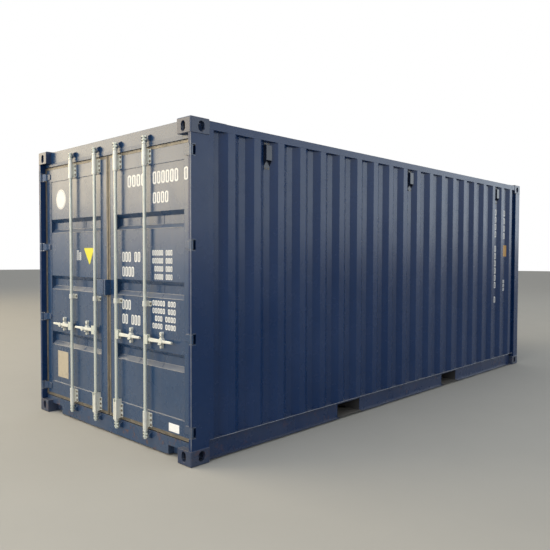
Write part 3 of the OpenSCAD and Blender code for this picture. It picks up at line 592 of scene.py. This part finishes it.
def timber_material(name, base):
    """Plywood boards with grain along the box, scuffs and a worn varnish."""
    shader, principled, where = new_material(name, 0.5)
    long = shader.stretched(where, (1.0, 14.0, 14.0))
    rings = shader.noise(long, 3.2, 6.0, 0.62)
    grain = shader.noise(shader.stretched(where, (2.0, 60.0, 60.0)), 4.0, 4.0, 0.6)
    tone = shader.mix(shader.span(rings, 0.36, 0.66), colour(base), colour(base, 0.55))
    tone = shader.mix(shader.span(grain, 0.42, 0.62, 0.0, 0.35), tone, colour(base, 0.4))
    scuffs = shader.span(shader.noise(where, 6.0, 7.0, 0.7), 0.58, 0.72, 0.0, 0.5)
    tone = shader.mix(scuffs, tone, SCUFFED_TIMBER)
    surface(shader, principled, tone, shader.span(scuffs, 0.0, 0.5, 0.38, 0.7),
        shader.math("ADD", rings, grain), 0.0008, 0.0015, 0.5)


def film_material(name, base, age=0.3):
    """Printed film: slightly dusty, with chalky patches and fine scratches."""
    shader, principled, where = new_material(name, 0.45)
    chalk = shader.span(shader.noise(where, 20.0, 6.0, 0.7), 0.45, 0.75, 0.0, age)
    tone = shader.mix(chalk, colour(base), colour(base, 0.72))
    scratch = shader.noise(shader.stretched(where, (1.0, 1.0, 8.0)), 70.0, 4.0, 0.7)
    tone = shader.mix(shader.span(scratch, 0.64, 0.72, 0.0, 0.35), tone, SCRATCH)
    surface(shader, principled, tone, shader.span(chalk, 0.0, age, 0.35, 0.6), scratch,
        0.0002, 0.0, 0.4)


def steel_material(name, base, roughness=0.38, metallic=0.75):
    """Plated steel of the small fasteners, with dull and rusty spots."""
    shader, principled, where = new_material(name, roughness, metallic)
    dull = shader.noise(where, 90.0, 5.0, 0.65)
    tone = shader.mix(shader.span(dull, 0.4, 0.7), colour(base), colour(base, 0.55))
    rust = use_group(shader, "Rust", Vector=where)
    spots = shader.span(shader.noise(where, 45.0, 4.0, 0.7), 0.60, 0.68, 0.0, 0.75)
    tone = shader.mix(spots, tone, rust["Colour"])
    surface(shader, principled, tone, shader.span(dull, 0.35, 0.7, 0.3, 0.62), dull,
        0.0003, 0.0008, 0.5)


# finish of each node by the start of its name; the rest have the wall paint
FINISH_OF = {
    "fitting_paint": ("bottom_corner_fittings", "top_corner_fittings"),
    "door_paint": ("door_frame", "lock_box", "rear_header", "upper_cam_keepers",
        "lower_cam_keepers"),
    "panel_paint": ("door_panel",),
    "skin_paint": ("side_wall", "front_wall"),
    "hinge_paint": ("hinge_blades", "hinge_lugs"),
    "bracket_zinc": ("bar_brackets",),
    "sill_paint": ("rear_sill", "front_sill"),
    "rail_paint": ("bottom_side_rails", "bottom_rail_webs"),
    "vent_paint": ("side_vents",),
    "roof_paint": ("roof",),
    "bar_zinc": ("lock_bar",),
    "door_gear": ("handle",),
    "plated_steel": ("hinge_pins",),
    "gasket_rubber": ("door_gasket",),
    "underbody": ("crossmembers", "fork_pocket", "floor_centre_rail"),
    "floor_timber": ("floor_boards",),
}

# tones of the painted highlights on folds and edges, the fasteners and the labels
PAINTED_HIGHLIGHT_TONE = (0.24, 0.265, 0.32)
FASTENER_STEEL = (0.62, 0.61, 0.57)
# dark tone of the bolt heads, darker than the zinc round them
DARK_BOLT_STEEL = (0.24, 0.20, 0.15)
ORANGE_FILM = (0.58, 0.32, 0.08)
LABEL_FILM = (0.97, 0.97, 0.96)


# base operator

class ContainerOperator(bpy.types.Operator):
    bl_options = {"REGISTER", "UNDO"}

    @classmethod
    def poll(cls, context):
        return context.scene is not None


class CONTAINER_OT_finishes(ContainerOperator):
    """Builds the materials and gives them to the CAD nodes"""
    bl_idname = "container.finishes"
    bl_label = "Finishes"

    def execute(self, context):
        for build in (edge_wear_group, dust_group, paint_film_group, rust_group):
            build()
        finish = context.scene.container_finish
        door, wall = finish.door_paint, finish.wall_paint
        dust, wear = finish.dust, finish.wear
        paint_material("door_paint", door, dust, wear, fade=0.1, rounding=0.0035, shine=0.75)
        paint_material("sill_paint", door, 1.6 * dust, 1.6 * wear, fade=0.3, low_rust=0.7)
        paint_material("wall_paint", wall, 0.5 * dust, 0.4 * wear, fade=0.02,
            rounding=0.004, shine=0.36)
        paint_material("skin_paint", wall, 0.5 * dust, 0.0, fade=0.02, rounding=0.0,
            shine=0.36, ripple=0.15)
        paint_material("panel_paint", door, 2.8 * dust, 0.0, fade=0.1, rounding=0.0,
            shine=0.75, ripple=0.4)
        paint_material("rail_paint", wall, dust, 0.7 * wear, fade=0.1, rounding=0.003,
            low_rust=0.25)
        paint_material("vent_paint", [0.3 * part for part in wall], dust, 0.0)
        paint_material("roof_paint", wall, 2.4 * dust, 0.0, fade=0.5, rounding=0.0)
        paint_material("fitting_paint", finish.fitting_paint, 1.4 * dust, 2.0 * wear,
            fade=0.3, rounding=0.004, low_rust=0.3)
        paint_material("seam_paint", wall, dust, 0.0, fade=0.2, rounding=0.001)
        # the hinge blades' heavy edge wear is partly real wear and partly a painted highlight
        # along their edges
        paint_material("hinge_paint", door, 2.0 * dust, 2.4 * wear, fade=0.3,
            rounding=0.003, shine=0.75)
        # painted highlight: a pale paint for the beads along bends and edges where they catch
        # the light
        paint_material("highlight_paint", PAINTED_HIGHLIGHT_TONE, 2.0 * dust, wear, fade=0.6, shine=0.8)
        gear_material("door_gear", finish.gear_colour)
        gear_material("bar_zinc", finish.bar_colour)
        gear_material("bracket_zinc", [0.96 * part for part in finish.gear_colour])
        rubber_material("gasket_rubber", finish.rubber_colour)
        underbody_material("underbody", finish.underbody_colour)
        timber_material("floor_timber", finish.timber_colour)
        film_material("white_film", finish.marking_colour)
        film_material("yellow_film", finish.sign_colour, 0.15)
        film_material("orange_film", ORANGE_FILM, 0.5)
        film_material("plate_lacquer", finish.plate_colour, 0.5)
        steel_material("plated_steel", FASTENER_STEEL)
        steel_material("dark_bolt_steel", DARK_BOLT_STEEL, 0.45, 0.3)
        film_material("label_film", LABEL_FILM, 0.1)
        for node, cad in frame["nodes"].items():
            names = (name for name, starts in FINISH_OF.items() if node.startswith(starts))
            cad.data.materials.clear()
            cad.data.materials.append(MATERIALS[next(names, "wall_paint")])
        return {"FINISHED"}


class CONTAINER_OT_door_bolts(ContainerOperator):
    """Bolts and rivets on the flanges, catches and mid brackets of each leaf"""
    bl_idname = "container.door_bolts"
    bl_label = "Door bolts"

    def execute(self, context):
        gear = context.scene.container_gear
        rng = random.Random(11)
        flange_face = DOOR_FACE - 0.006
        flange_feet = (DOOR_LOW + 0.009, DOOR_HIGH - 0.124)
        bracket_face = PANEL_FACE - 0.006
        bracket_z = DOOR_MIDDLE - 0.118
        catch_face = PANEL_FACE - 0.025
        for side, sign in SIDES.items():
            bm = bmesh.new()
            for bar in BAR_AT.values():
                spots = [(flange_face, sign * bar + off, foot + rise)
                    for foot in flange_feet for rise in (0.018, 0.0575, 0.097)
                    for off in (-0.034, 0.034)]
                spots += [(bracket_face, sign * bar + off, bracket_z)
                    for off in (-0.032, 0.032)]
                for spot in spots:
                    add_bolt(bm, spot, OUT, gear.bolt_radius, gear.bolt_height, rng.random())
                for rise in (-0.034, 0.034):
                    add_rivet(bm, (catch_face, sign * (bar + CATCH_FROM_BAR),
                        HANDLE_AT + rise), OUT, gear.rivet_radius)
            make_piece(f"door_bolts_{side}", bm, "dark_bolt_steel", f"{side}_leaf",
                30)
        return {"FINISHED"}


class CONTAINER_OT_bar_collars(ContainerOperator):
    """Collars above and below the sleeves of each lock bar"""
    bl_idname = "container.bar_collars"
    bl_label = "Bar collars"

    def execute(self, context):
        wide = context.scene.container_gear.collar_radius
        neck, tall = 0.0132, 0.011
        profile = [(neck, 0), (wide - 0.001, 0), (wide, 0.0015), (wide, 0.0095),
            (wide - 0.001, tall), (neck, tall)]
        for side, sign in SIDES.items():
            for where, bar in BAR_AT.items():
                bm = bmesh.new()
                for foot in (DOOR_HIGH + 0.034, DOOR_LOW - 0.024):
                    turned(bm, profile, (BAR_AXIS_X, sign * bar, foot), UP, sides=28)
                make_piece(f"bar_collars_{side}_{where}", bm, "door_gear",
                    f"bar_{side}_{where}", 40)
        return {"FINISHED"}


class CONTAINER_OT_gasket_lips(ContainerOperator):
    """Round lips and side bands of the rubber gaskets round each leaf"""
    bl_idname = "container.gasket_lips"
    bl_label = "Gasket lips"

    def execute(self, context):
        radius = context.scene.container_gear.lip_radius
        inset = radius + 0.0004
        wide = 0.016
        band = [(-wide, 0.0), (-wide, 0.0012), (-0.75 * wide, 0.0024),
            (-0.35 * wide, 0.0016), (0.0, 0.0026), (0.004, 0.0024), (0.004, 0.0)]
        for side, sign in SIDES.items():
            bm = bmesh.new()
            low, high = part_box(f"door_gasket_{side}")
            gap, edge = sorted((sign * low.y, sign * high.y))
            add_frame(bm, (gap + inset, low.z + inset), (edge - inset, high.z - inset),
                circle(radius, 10), door_place(low.x - 0.3 * radius, sign))
            add_frame(bm, (DOOR_GAP, DOOR_LOW), (DOOR_EDGE, DOOR_HIGH), band,
                door_place(DOOR_FACE, sign))
            make_piece(f"gasket_lip_{side}", bm, "gasket_rubber", f"{side}_leaf",
                60)
        return {"FINISHED"}


class CONTAINER_OT_door_seams(ContainerOperator):
    """Weld seams of the door panels, painted highlights along their folds, and seams round the
    hinge blades
    """
    bl_idname = "container.door_seams"
    bl_label = "Door seams"

    def execute(self, context):
        radius = context.scene.container_gear.seam_radius
        rng = random.Random(23)
        seam_face = PANEL_FACE - 0.0005
        floor_face = PANEL_FACE + TROUGH_DEEP
        middles = [DOOR_MIDDLE + trough for trough in TROUGHS]
        for side, sign in SIDES.items():
            gap, edge = sign * PANEL_GAP, sign * PANEL_EDGE
            bm = bmesh.new()
            for z in (PANEL_LOW, PANEL_HIGH):
                add_seam(bm, (seam_face, gap, z), (seam_face, edge, z), radius, rng)
            for y in (gap, edge):
                add_seam(bm, (seam_face, y, PANEL_LOW), (seam_face, y, PANEL_HIGH),
                    0.8 * radius, rng)
            for middle in middles:
                for part in (0.34, 0.68):
                    y = sign * (PANEL_GAP + part * (PANEL_EDGE - PANEL_GAP))
                    add_seam(bm, (floor_face, y, middle - TROUGH_FLOOR),
                        (floor_face, y, middle + TROUGH_FLOOR), 0.7 * radius, rng)
                    for turn in (-1, 1):
                        add_seam(bm, (floor_face, y, middle + turn * TROUGH_FLOOR),
                            (PANEL_FACE, y, middle + turn * TROUGH_MOUTH), 0.7 * radius,
                            rng)
            for hinge in HINGES:
                corners = [(DOOR_FACE - 0.0015, sign * (SIDE - 0.018 - reach),
                    hinge + rise) for reach, rise in BLADE_EDGE]
                for start, end in zip(corners, corners[1:]):
                    add_seam(bm, start, end, radius, rng)
            make_piece(f"door_seams_{side}", bm, "door_paint", f"{side}_leaf",
                50)
            # painted highlights: pale beads along the panel's lower edge and both edges of each
            # trough's lower slope, where the bends catch the light
            bm = bmesh.new()
            gap, edge = sign * (PANEL_GAP + 0.006), sign * (PANEL_EDGE - 0.006)
            folds = [(PANEL_FACE, PANEL_LOW + 0.006, 0.9)]
            for middle in middles:
                folds += [(PANEL_FACE, middle - TROUGH_MOUTH, 0.9),
                    (floor_face, middle - TROUGH_FLOOR, 0.7)]
            for x, z, part in folds:
                add_seam(bm, (x, gap, z), (x, edge, z), part * radius, rng, pitch=0.03)
            make_piece(f"fold_highlights_{side}", bm, "highlight_paint", f"{side}_leaf",
                50)
        return {"FINISHED"}


class CONTAINER_OT_fitting_seams(ContainerOperator):
    """Weld seams between the corner fittings, the posts and the rails"""
    bl_idname = "container.fitting_seams"
    bl_label = "Fitting seams"

    def execute(self, context):
        radius = context.scene.container_gear.seam_radius
        rng = random.Random(31)
        bm = bmesh.new()
        fitting_long, fitting_tall = 0.178, 0.118
        rail_low, rail_high = TOP - 0.077, TOP - 0.017
        web_foot, web_head = 0.0125, 0.1745
        for end in (-1, 1):
            for sign in (-1, 1):
                outer = end * (FRONT - SHEET_INSET)
                inner = end * (FRONT - fitting_long)
                post = end * (FRONT - (0.135 if end > 0 else fitting_long))
                face = sign * (SIDE - SHEET_INSET)
                across = sign * (SIDE - SHEET_INSET - (0.081 if end > 0 else 0.024))
                under = sign * (SIDE - SHEET_INSET - 0.06)
                web = sign * (SIDE - 0.052)
                lines = []
                for z in (fitting_tall, TOP - fitting_tall):
                    lines += [((outer, face, z), (post, face, z)),
                        ((outer, face, z), (outer, across, z))]
                for z in (rail_low, rail_high):
                    lines.append(((inner, face, z), (inner, under, z)))
                lines += [((inner, face, rail_low), (inner, face, rail_high)),
                    ((inner, web, web_foot), (inner, web, fitting_tall)),
                    ((inner, face, web_head), (inner, web, web_head))]
                for line in lines:
                    add_seam(bm, *line, radius, rng)
        make_piece("fitting_seams", bm, "seam_paint", "container", 50)
        return {"FINISHED"}


class CONTAINER_OT_post_edges(ContainerOperator):
    """Beads of painted highlight along the rear posts' outer corners and the lower rails' tops
    """
    bl_idname = "container.post_edges"
    bl_label = "Post edges"

    def execute(self, context):
        rng = random.Random(47)
        skin = 0.0045
        corner = REAR + skin
        post_end = 0.120
        rail_end = 0.185
        # painted highlight: pale beads where the posts' corners and the rails' top edges catch
        # the light
        bm = bmesh.new()
        for sign in (-1, 1):
            face = sign * (SIDE - skin)
            add_seam(bm, (corner, face, post_end), (corner, face, TOP - post_end), 0.003,
                rng, pitch=0.06)
            add_seam(bm, (REAR + rail_end, face, RAIL_TOP), (FRONT - rail_end, face,
                RAIL_TOP), 0.0025, rng, pitch=0.2)
        make_piece("post_edges", bm, "highlight_paint", "container", 50)
        return {"FINISHED"}


class CONTAINER_OT_vent_bolts(ContainerOperator):
    """Small bolts above and below each ventilator hood"""
    bl_idname = "container.vent_bolts"
    bl_label = "Ventilator bolts"

    def execute(self, context):
        gear = context.scene.container_gear
        low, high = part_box("side_vents")
        rng = random.Random(5)
        bm = bmesh.new()
        plate_face = WALL_FLAT + 0.002
        for x in vent_places():
            for z in (high.z - 0.009, low.z + 0.012):
                for off in (-0.018, 0.018):
                    for sign in (-1, 1):
                        add_bolt(bm, (x + off, sign * plate_face, z), Vector((0, sign, 0)),
                            0.6 * gear.bolt_radius, 0.7 * gear.bolt_height, rng.random())
        make_piece("vent_bolts", bm, "dark_bolt_steel", "container", 30)
        return {"FINISHED"}


def vent_places():
    """Middle of each ventilator along the box, read from the node's own corners."""
    groups = []
    for x in sorted({round(v.co.x, 3) for v in frame["nodes"]["side_vents"].data.vertices}):
        if not groups or x - groups[-1][-1] > 0.2:
            groups.append([])
        groups[-1].append(x)
    return [(group[0] + group[-1]) / 2 for group in groups]


# markings: plain zeros and bare signs

def add_zero(bm, place, u, v, wide, tall, film):
    """A plain zero, its left edge at u and its foot at v."""
    stroke = 0.36 * wide
    middle = (u + wide / 2, v + tall / 2)
    outer = rounded_loop(wide, tall, 0.36 * wide, middle)
    inner = rounded_loop(wide - 2 * stroke, tall - 1.6 * stroke, 0.11 * wide, middle)
    add_prism(bm, outer, place, FILM_SUNK, film, inner)


def add_row(bm, place, u, v, tall, pitch, pattern, film):
    """A row of zeros. A space in the pattern leaves a place bare."""
    for i, mark in enumerate(pattern):
        if mark == "0":
            add_zero(bm, place, u + i * pitch, v, 0.82 * pitch, tall, film)


class CONTAINER_OT_door_markings(ContainerOperator):
    """Rows of plain zeros on the doors"""
    bl_idname = "container.door_markings"
    bl_label = "Door markings"

    def execute(self, context):
        marks = context.scene.container_marks
        film, large, medium, small = marks.film, marks.large, marks.medium, marks.small
        place = door_place(PANEL_FACE)
        # left edge, foot, height, pitch and pattern of each row
        rows = [(0.300, 2.138, large, 0.066, "0000"), (0.662, 2.138, large, 0.057, "000000"),
            (0.662, 1.985, 0.9 * large, 0.054, "0000"),
            (0.214, 1.516, medium, 0.046, "000 00"), (0.214, 1.392, medium, 0.046, "0000"),
            (0.210, 1.112, medium, 0.046, "000"), (0.210, 0.990, medium, 0.046, "00 000")]
        for foot, drop, pitch, patterns in (
                (1.571, 0.0635, 0.030, ("00000 000", "00000 000", " 0000 000", " 0000 000")),
                (1.170, 0.061, 0.0345, ("00000 000", "00000 000", " 000 0000", "0000 0000"))):
            rows += [(0.652, foot - drop * row, small, pitch, pattern)
                for row, pattern in enumerate(patterns)]
        bm = bmesh.new()
        for row in rows:
            add_row(bm, place, *row, film)
        make_piece("door_figures_right", bm, "white_film", "right_leaf")
        bm = bmesh.new()
        add_row(bm, door_place(DOOR_FACE), 1.070, 2.138, large, 0.057, "0", film)
        make_piece("door_check_figure", bm, "white_film", "right_leaf")
        bm = bmesh.new()
        turned_place = lambda u, v, w: Vector((PANEL_FACE - w, 0.567 - v, 1.525 + u))
        for row in range(2):
            add_row(bm, turned_place, 0.0, 0.045 * row, 0.036, 0.019, "00000"[row:], film)
        make_piece("door_figures_left", bm, "white_film", "left_leaf")
        return {"FINISHED"}


class CONTAINER_OT_door_signs(ContainerOperator):
    """Bare round sign, bare three-cornered sign and bare plates on the doors"""
    bl_idname = "container.door_signs"
    bl_label = "Door signs"

    def execute(self, context):
        marks = context.scene.container_marks
        gear = context.scene.container_gear
        place = door_place(PANEL_FACE)
        bm = bmesh.new()
        outer, inner, disc = [[(-0.871 + a, 2.112 + b)
            for a, b in circle(part * marks.disc, 40)] for part in (1.0, 0.90, 0.86)]
        add_prism(bm, outer, place, FILM_SUNK, marks.film, inner)
        add_prism(bm, disc, place, FILM_SUNK, marks.film)
        make_piece("round_sign", bm, "white_film", "left_leaf")
        bm = bmesh.new()
        corners = [(-0.435, 1.637), (-0.333, 1.480), (-0.251, 1.637)]
        add_prism(bm, soft_corners(corners, 0.012), place, FILM_SUNK, marks.film)
        make_piece("three_cornered_sign", bm, "yellow_film", "left_leaf")
        bm = bmesh.new()
        middle_u, middle_v = -0.853, 0.4985
        wide, tall, thick = 0.208, 0.259, 0.0016
        border = 0.012
        add_prism(bm, rounded_loop(wide, tall, 0.006, (middle_u, middle_v)), place,
            FILM_SUNK, thick)
        add_frame(bm,
            (middle_u - wide / 2 + border, middle_v - tall / 2 + border),
            (middle_u + wide / 2 - border, middle_v + tall / 2 - border),
            [(0.0, 0.001), (0.003, 0.001), (0.002, 0.0026), (0.001, 0.0026)], place)
        for line in range(7):
            rise = middle_v + tall / 2 - 0.045 - line * 0.029
            add_prism(bm, rounded_loop(wide - 0.05, 0.0035, 0.0015, (middle_u, rise), 2),
                place, 0.001, 0.0022)
        make_piece("data_plate", bm, "plate_lacquer", "left_leaf", 40)
        bm = bmesh.new()
        for a in (-1, 1):
            for b in (-1, 1):
                add_rivet(bm, place(middle_u + a * (wide / 2 - 0.007),
                    middle_v + b * (tall / 2 - 0.007), thick), OUT, 0.8 * gear.rivet_radius)
        make_piece("data_plate_rivets", bm, "plated_steel", "left_leaf",
            40)
        bm = bmesh.new()
        add_prism(bm, rounded_loop(0.133, 0.065, 0.004, (0.9365, 0.2325)),
            door_place(DOOR_FACE), FILM_SUNK, marks.film)
        make_piece("bare_label", bm, "label_film", "right_leaf")
        return {"FINISHED"}


def soft_corners(corners, radius):
    """Cuts each corner of a loop back with two short chords."""
    points = []
    count = len(corners)
    for k in range(count):
        at = Vector(corners[k])
        before = (Vector(corners[k - 1]) - at).normalized()
        after = (Vector(corners[(k + 1) % count]) - at).normalized()
        points += [at + radius * before, at + 0.28 * radius * (before + after),
            at + radius * after]
    return [(p.x, p.y) for p in points]


class CONTAINER_OT_side_markings(ContainerOperator):
    """Upright columns of plain zeros and a bare label on the side walls"""
    bl_idname = "container.side_markings"
    bl_label = "Side markings"

    def execute(self, context):
        film = context.scene.container_marks.film
        wide, tall, pitch = 0.054, 0.086, 0.1
        zeros = [(2.295 - wide / 2, 2.214 - tall - i * pitch, wide, tall)
            for i, mark in enumerate("0000 000000 0") if mark == "0"]
        zeros += [(2.579 - wide / 2, 2.212 - tall - i * 1.05 * pitch, wide, tall)
            for i in range(4)]
        zeros += [(2.550 + 0.021 * i, 1.19 - 0.055 * row, 0.018, 0.046)
            for row in range(3) for i in range(3)]
        # the label runs along a flat and then down the slope beside it
        flat_from, flat_to, slope_to = 2.545, 2.611, 2.636
        drop = (slope_to - flat_to) * WALL_DEEP / 0.068
        path = [(flat_from, 0.0), (flat_to, 0.0), (slope_to, drop)]
        for side, sign in SIDES.items():
            bm = bmesh.new()
            for zero in zeros:
                add_zero(bm, wall_place(sign), *zero, film)
            make_piece(f"side_figures_{side}", bm, "white_film", "container")
            bm = bmesh.new()
            add_strip(bm, path, sign, 1.566, 1.722, film)
            make_piece(f"side_label_{side}", bm, "orange_film", "container")
        return {"FINISHED"}


def add_strip(bm, path, sign, low, high, film):
    """Label bent along a path of X and outward steps."""
    rows = []
    for outward in (FILM_SUNK, film):
        for z in (low, high):
            rows.append([bm.verts.new((x, sign * (WALL_FLAT + out + outward), z))
                for x, out in path])
    back_low, back_high, front_low, front_high = rows
    for k in range(len(path) - 1):
        for one, two in ((back_low, back_high), (front_high, front_low),
                (back_high, front_high), (front_low, back_low)):
            bm.faces.new((one[k], one[k + 1], two[k + 1], two[k]))
    for k in (0, -1):
        bm.faces.new((back_low[k], back_high[k], front_high[k], front_low[k]))


# place, aim, width and height, power in watts and tint of each soft lamp
LAMPS = {
    "door_lamp": ((-11.1, 13.8, 7.5), (-3.0, 0.0, 2.4), (17.0, 9.0), 1960.0,
        (1.0, 0.81, 0.49)),
    "low_lamp": ((-11.1, 8.6, 2.6), (-3.0, 0.0, 1.9), (7.0, 2.6), 75.0, (1.0, 0.82, 0.56)),
    "front_lamp": ((-16.0, -3.0, 5.0), (-3.0, 0.0, 1.0), (9.0, 6.0), 560.0,
        (0.86, 0.93, 1.0)),
    "top_lamp": ((-7.0, 0.5, 11.0), (-4.0, 0.0, 0.0), (9.0, 7.0), 480.0, (1.0, 0.98, 0.93)),
    "side_lamp": ((14.0, -11.5, 4.6), (-1.0, -1.2, 2.0), (20.0, 5.0), 510.0,
        (0.78, 0.91, 1.0)),
    "wall_lamp": ((0.0, -16.0, 5.6), (0.0, 0.0, 2.0), (12.0, 4.5), 100.0,
        (0.84, 0.94, 1.0)),
}


def add_lamp(name, at, target, size, power, tint):
    """Soft rectangular lamp that the camera doesn't see."""
    data = bpy.data.lights.new(name, "AREA")
    data.shape = "RECTANGLE"
    data.size, data.size_y = size
    data.energy = power
    data.color = tint
    lamp = linked(name, data)
    lamp.visible_camera = False
    turn = (Vector(target) - Vector(at)).normalized().to_track_quat("-Z", "Y")
    lamp.matrix_world = Matrix.Translation(at) @ turn.to_matrix().to_4x4()


def add_floor(stage):
    """Wide round floor, pale and slightly uneven in tone."""
    shader, principled, where = new_material("studio_floor", 0.9)
    tone = shader.mix(shader.span(shader.noise(where, 1.4, 6.0, 0.6), 0.3, 0.7),
        colour(stage.floor_colour, 0.97), colour(stage.floor_colour))
    shader.join(tone, principled, "Base Color")
    principled.inputs["Specular IOR Level"].default_value = 0.2
    bm = bmesh.new()
    bmesh.ops.create_circle(bm, cap_ends=True, segments=96, radius=60.0)
    floor = mesh_object("floor", bm, "studio_floor")


def add_sky(scene, sky_light):
    """Even light, warmer low down, that camera and gloss rays see as plain white."""
    world = bpy.data.worlds.new("studio")
    scene.world = world
    world.use_nodes = True
    shader = Shader(world.node_tree)
    path = shader.add("ShaderNodeLightPath").outputs
    seen = shader.math("MAXIMUM", path["Is Camera Ray"], path["Is Transmission Ray"])
    seen = shader.math("MAXIMUM", seen, path["Is Glossy Ray"])
    height = shader.rise(shader.add("ShaderNodeTexCoord").outputs["Generated"])
    sky = shader.mix(shader.span(height, 0.0, 0.7), (1.0, 0.95, 0.88, 1.0),
        (0.84, 0.91, 1.0, 1.0))
    background = world.node_tree.nodes["Background"]
    shader.join(shader.mix(seen, sky, (1.0, 1.0, 1.0, 1.0)), background, "Color")
    shader.join(shader.span(seen, 0.0, 1.0, sky_light, 1.0), background, "Strength")


def add_camera(scene, lens):
    """Camera at the photograph's place and angles, on a square frame."""
    camera = linked("camera", bpy.data.cameras.new("camera"))
    camera.data.lens = lens
    camera.data.sensor_width = 36.0
    camera.data.sensor_height = 36.0
    camera.data.sensor_fit = "HORIZONTAL"
    camera.data.clip_end = 200.0
    yaw, pitch, roll = 0.7611, -0.0336, 0.0030
    ahead = Vector((math.cos(pitch) * math.cos(yaw), math.cos(pitch) * math.sin(yaw),
        math.sin(pitch)))
    right = ahead.cross(UP).normalized()
    up = right.cross(ahead)
    rolled_right = math.cos(roll) * right + math.sin(roll) * up
    rolled_up = math.cos(roll) * up - math.sin(roll) * right
    turn = Matrix((rolled_right, rolled_up, -ahead)).transposed().to_4x4()
    camera.matrix_world = Matrix.Translation((-5.7693, -4.6784, 1.5790)) @ turn
    scene.camera = camera


class CONTAINER_OT_stage(ContainerOperator):
    """Floor, light and camera"""
    bl_idname = "container.stage"
    bl_label = "Stage"

    def execute(self, context):
        stage = context.scene.container_stage
        add_floor(stage)
        add_sky(context.scene, stage.sky)
        for name, (at, target, size, power, tint) in LAMPS.items():
            add_lamp(name, at, target, size, power * stage.lamp, tint)
        add_camera(context.scene, stage.lens)
        context.scene.view_settings.view_transform = "Standard"
        return {"FINISHED"}


OPERATORS = (CONTAINER_OT_finishes, CONTAINER_OT_door_bolts, CONTAINER_OT_bar_collars,
    CONTAINER_OT_gasket_lips, CONTAINER_OT_door_seams, CONTAINER_OT_fitting_seams,
    CONTAINER_OT_post_edges, CONTAINER_OT_vent_bolts, CONTAINER_OT_door_markings,
    CONTAINER_OT_door_signs, CONTAINER_OT_side_markings, CONTAINER_OT_stage)
SETTINGS = {"container_finish": FinishSettings, "container_gear": GearSettings,
    "container_marks": MarkingSettings, "container_stage": StageSettings}


class CONTAINER_PT_panel(bpy.types.Panel):
    """Lists the pieces and their settings"""
    bl_idname = "CONTAINER_PT_panel"
    bl_label = "Freight container"
    bl_space_type = "VIEW_3D"
    bl_region_type = "UI"
    bl_category = "Container"

    def draw(self, context):
        layout = self.layout
        for name, group in SETTINGS.items():
            box = layout.box()
            settings = getattr(context.scene, name)
            for prop in group.__annotations__:
                box.prop(settings, prop)
        for operator in OPERATORS:
            layout.operator(operator.bl_idname)


def register():
    for group in SETTINGS.values():
        bpy.utils.register_class(group)
    for name, group in SETTINGS.items():
        setattr(bpy.types.Scene, name, PointerProperty(type=group))
    for operator in OPERATORS:
        bpy.utils.register_class(operator)
    bpy.utils.register_class(CONTAINER_PT_panel)


def unregister():
    bpy.utils.unregister_class(CONTAINER_PT_panel)
    for operator in reversed(OPERATORS):
        bpy.utils.unregister_class(operator)
    for name in SETTINGS:
        delattr(bpy.types.Scene, name)
    for group in SETTINGS.values():
        bpy.utils.unregister_class(group)


def main():
    register()
    for operator in OPERATORS:
        area, call = operator.bl_idname.split(".")
        getattr(getattr(bpy.ops, area), call)()


if __name__ == "__main__":
    main()
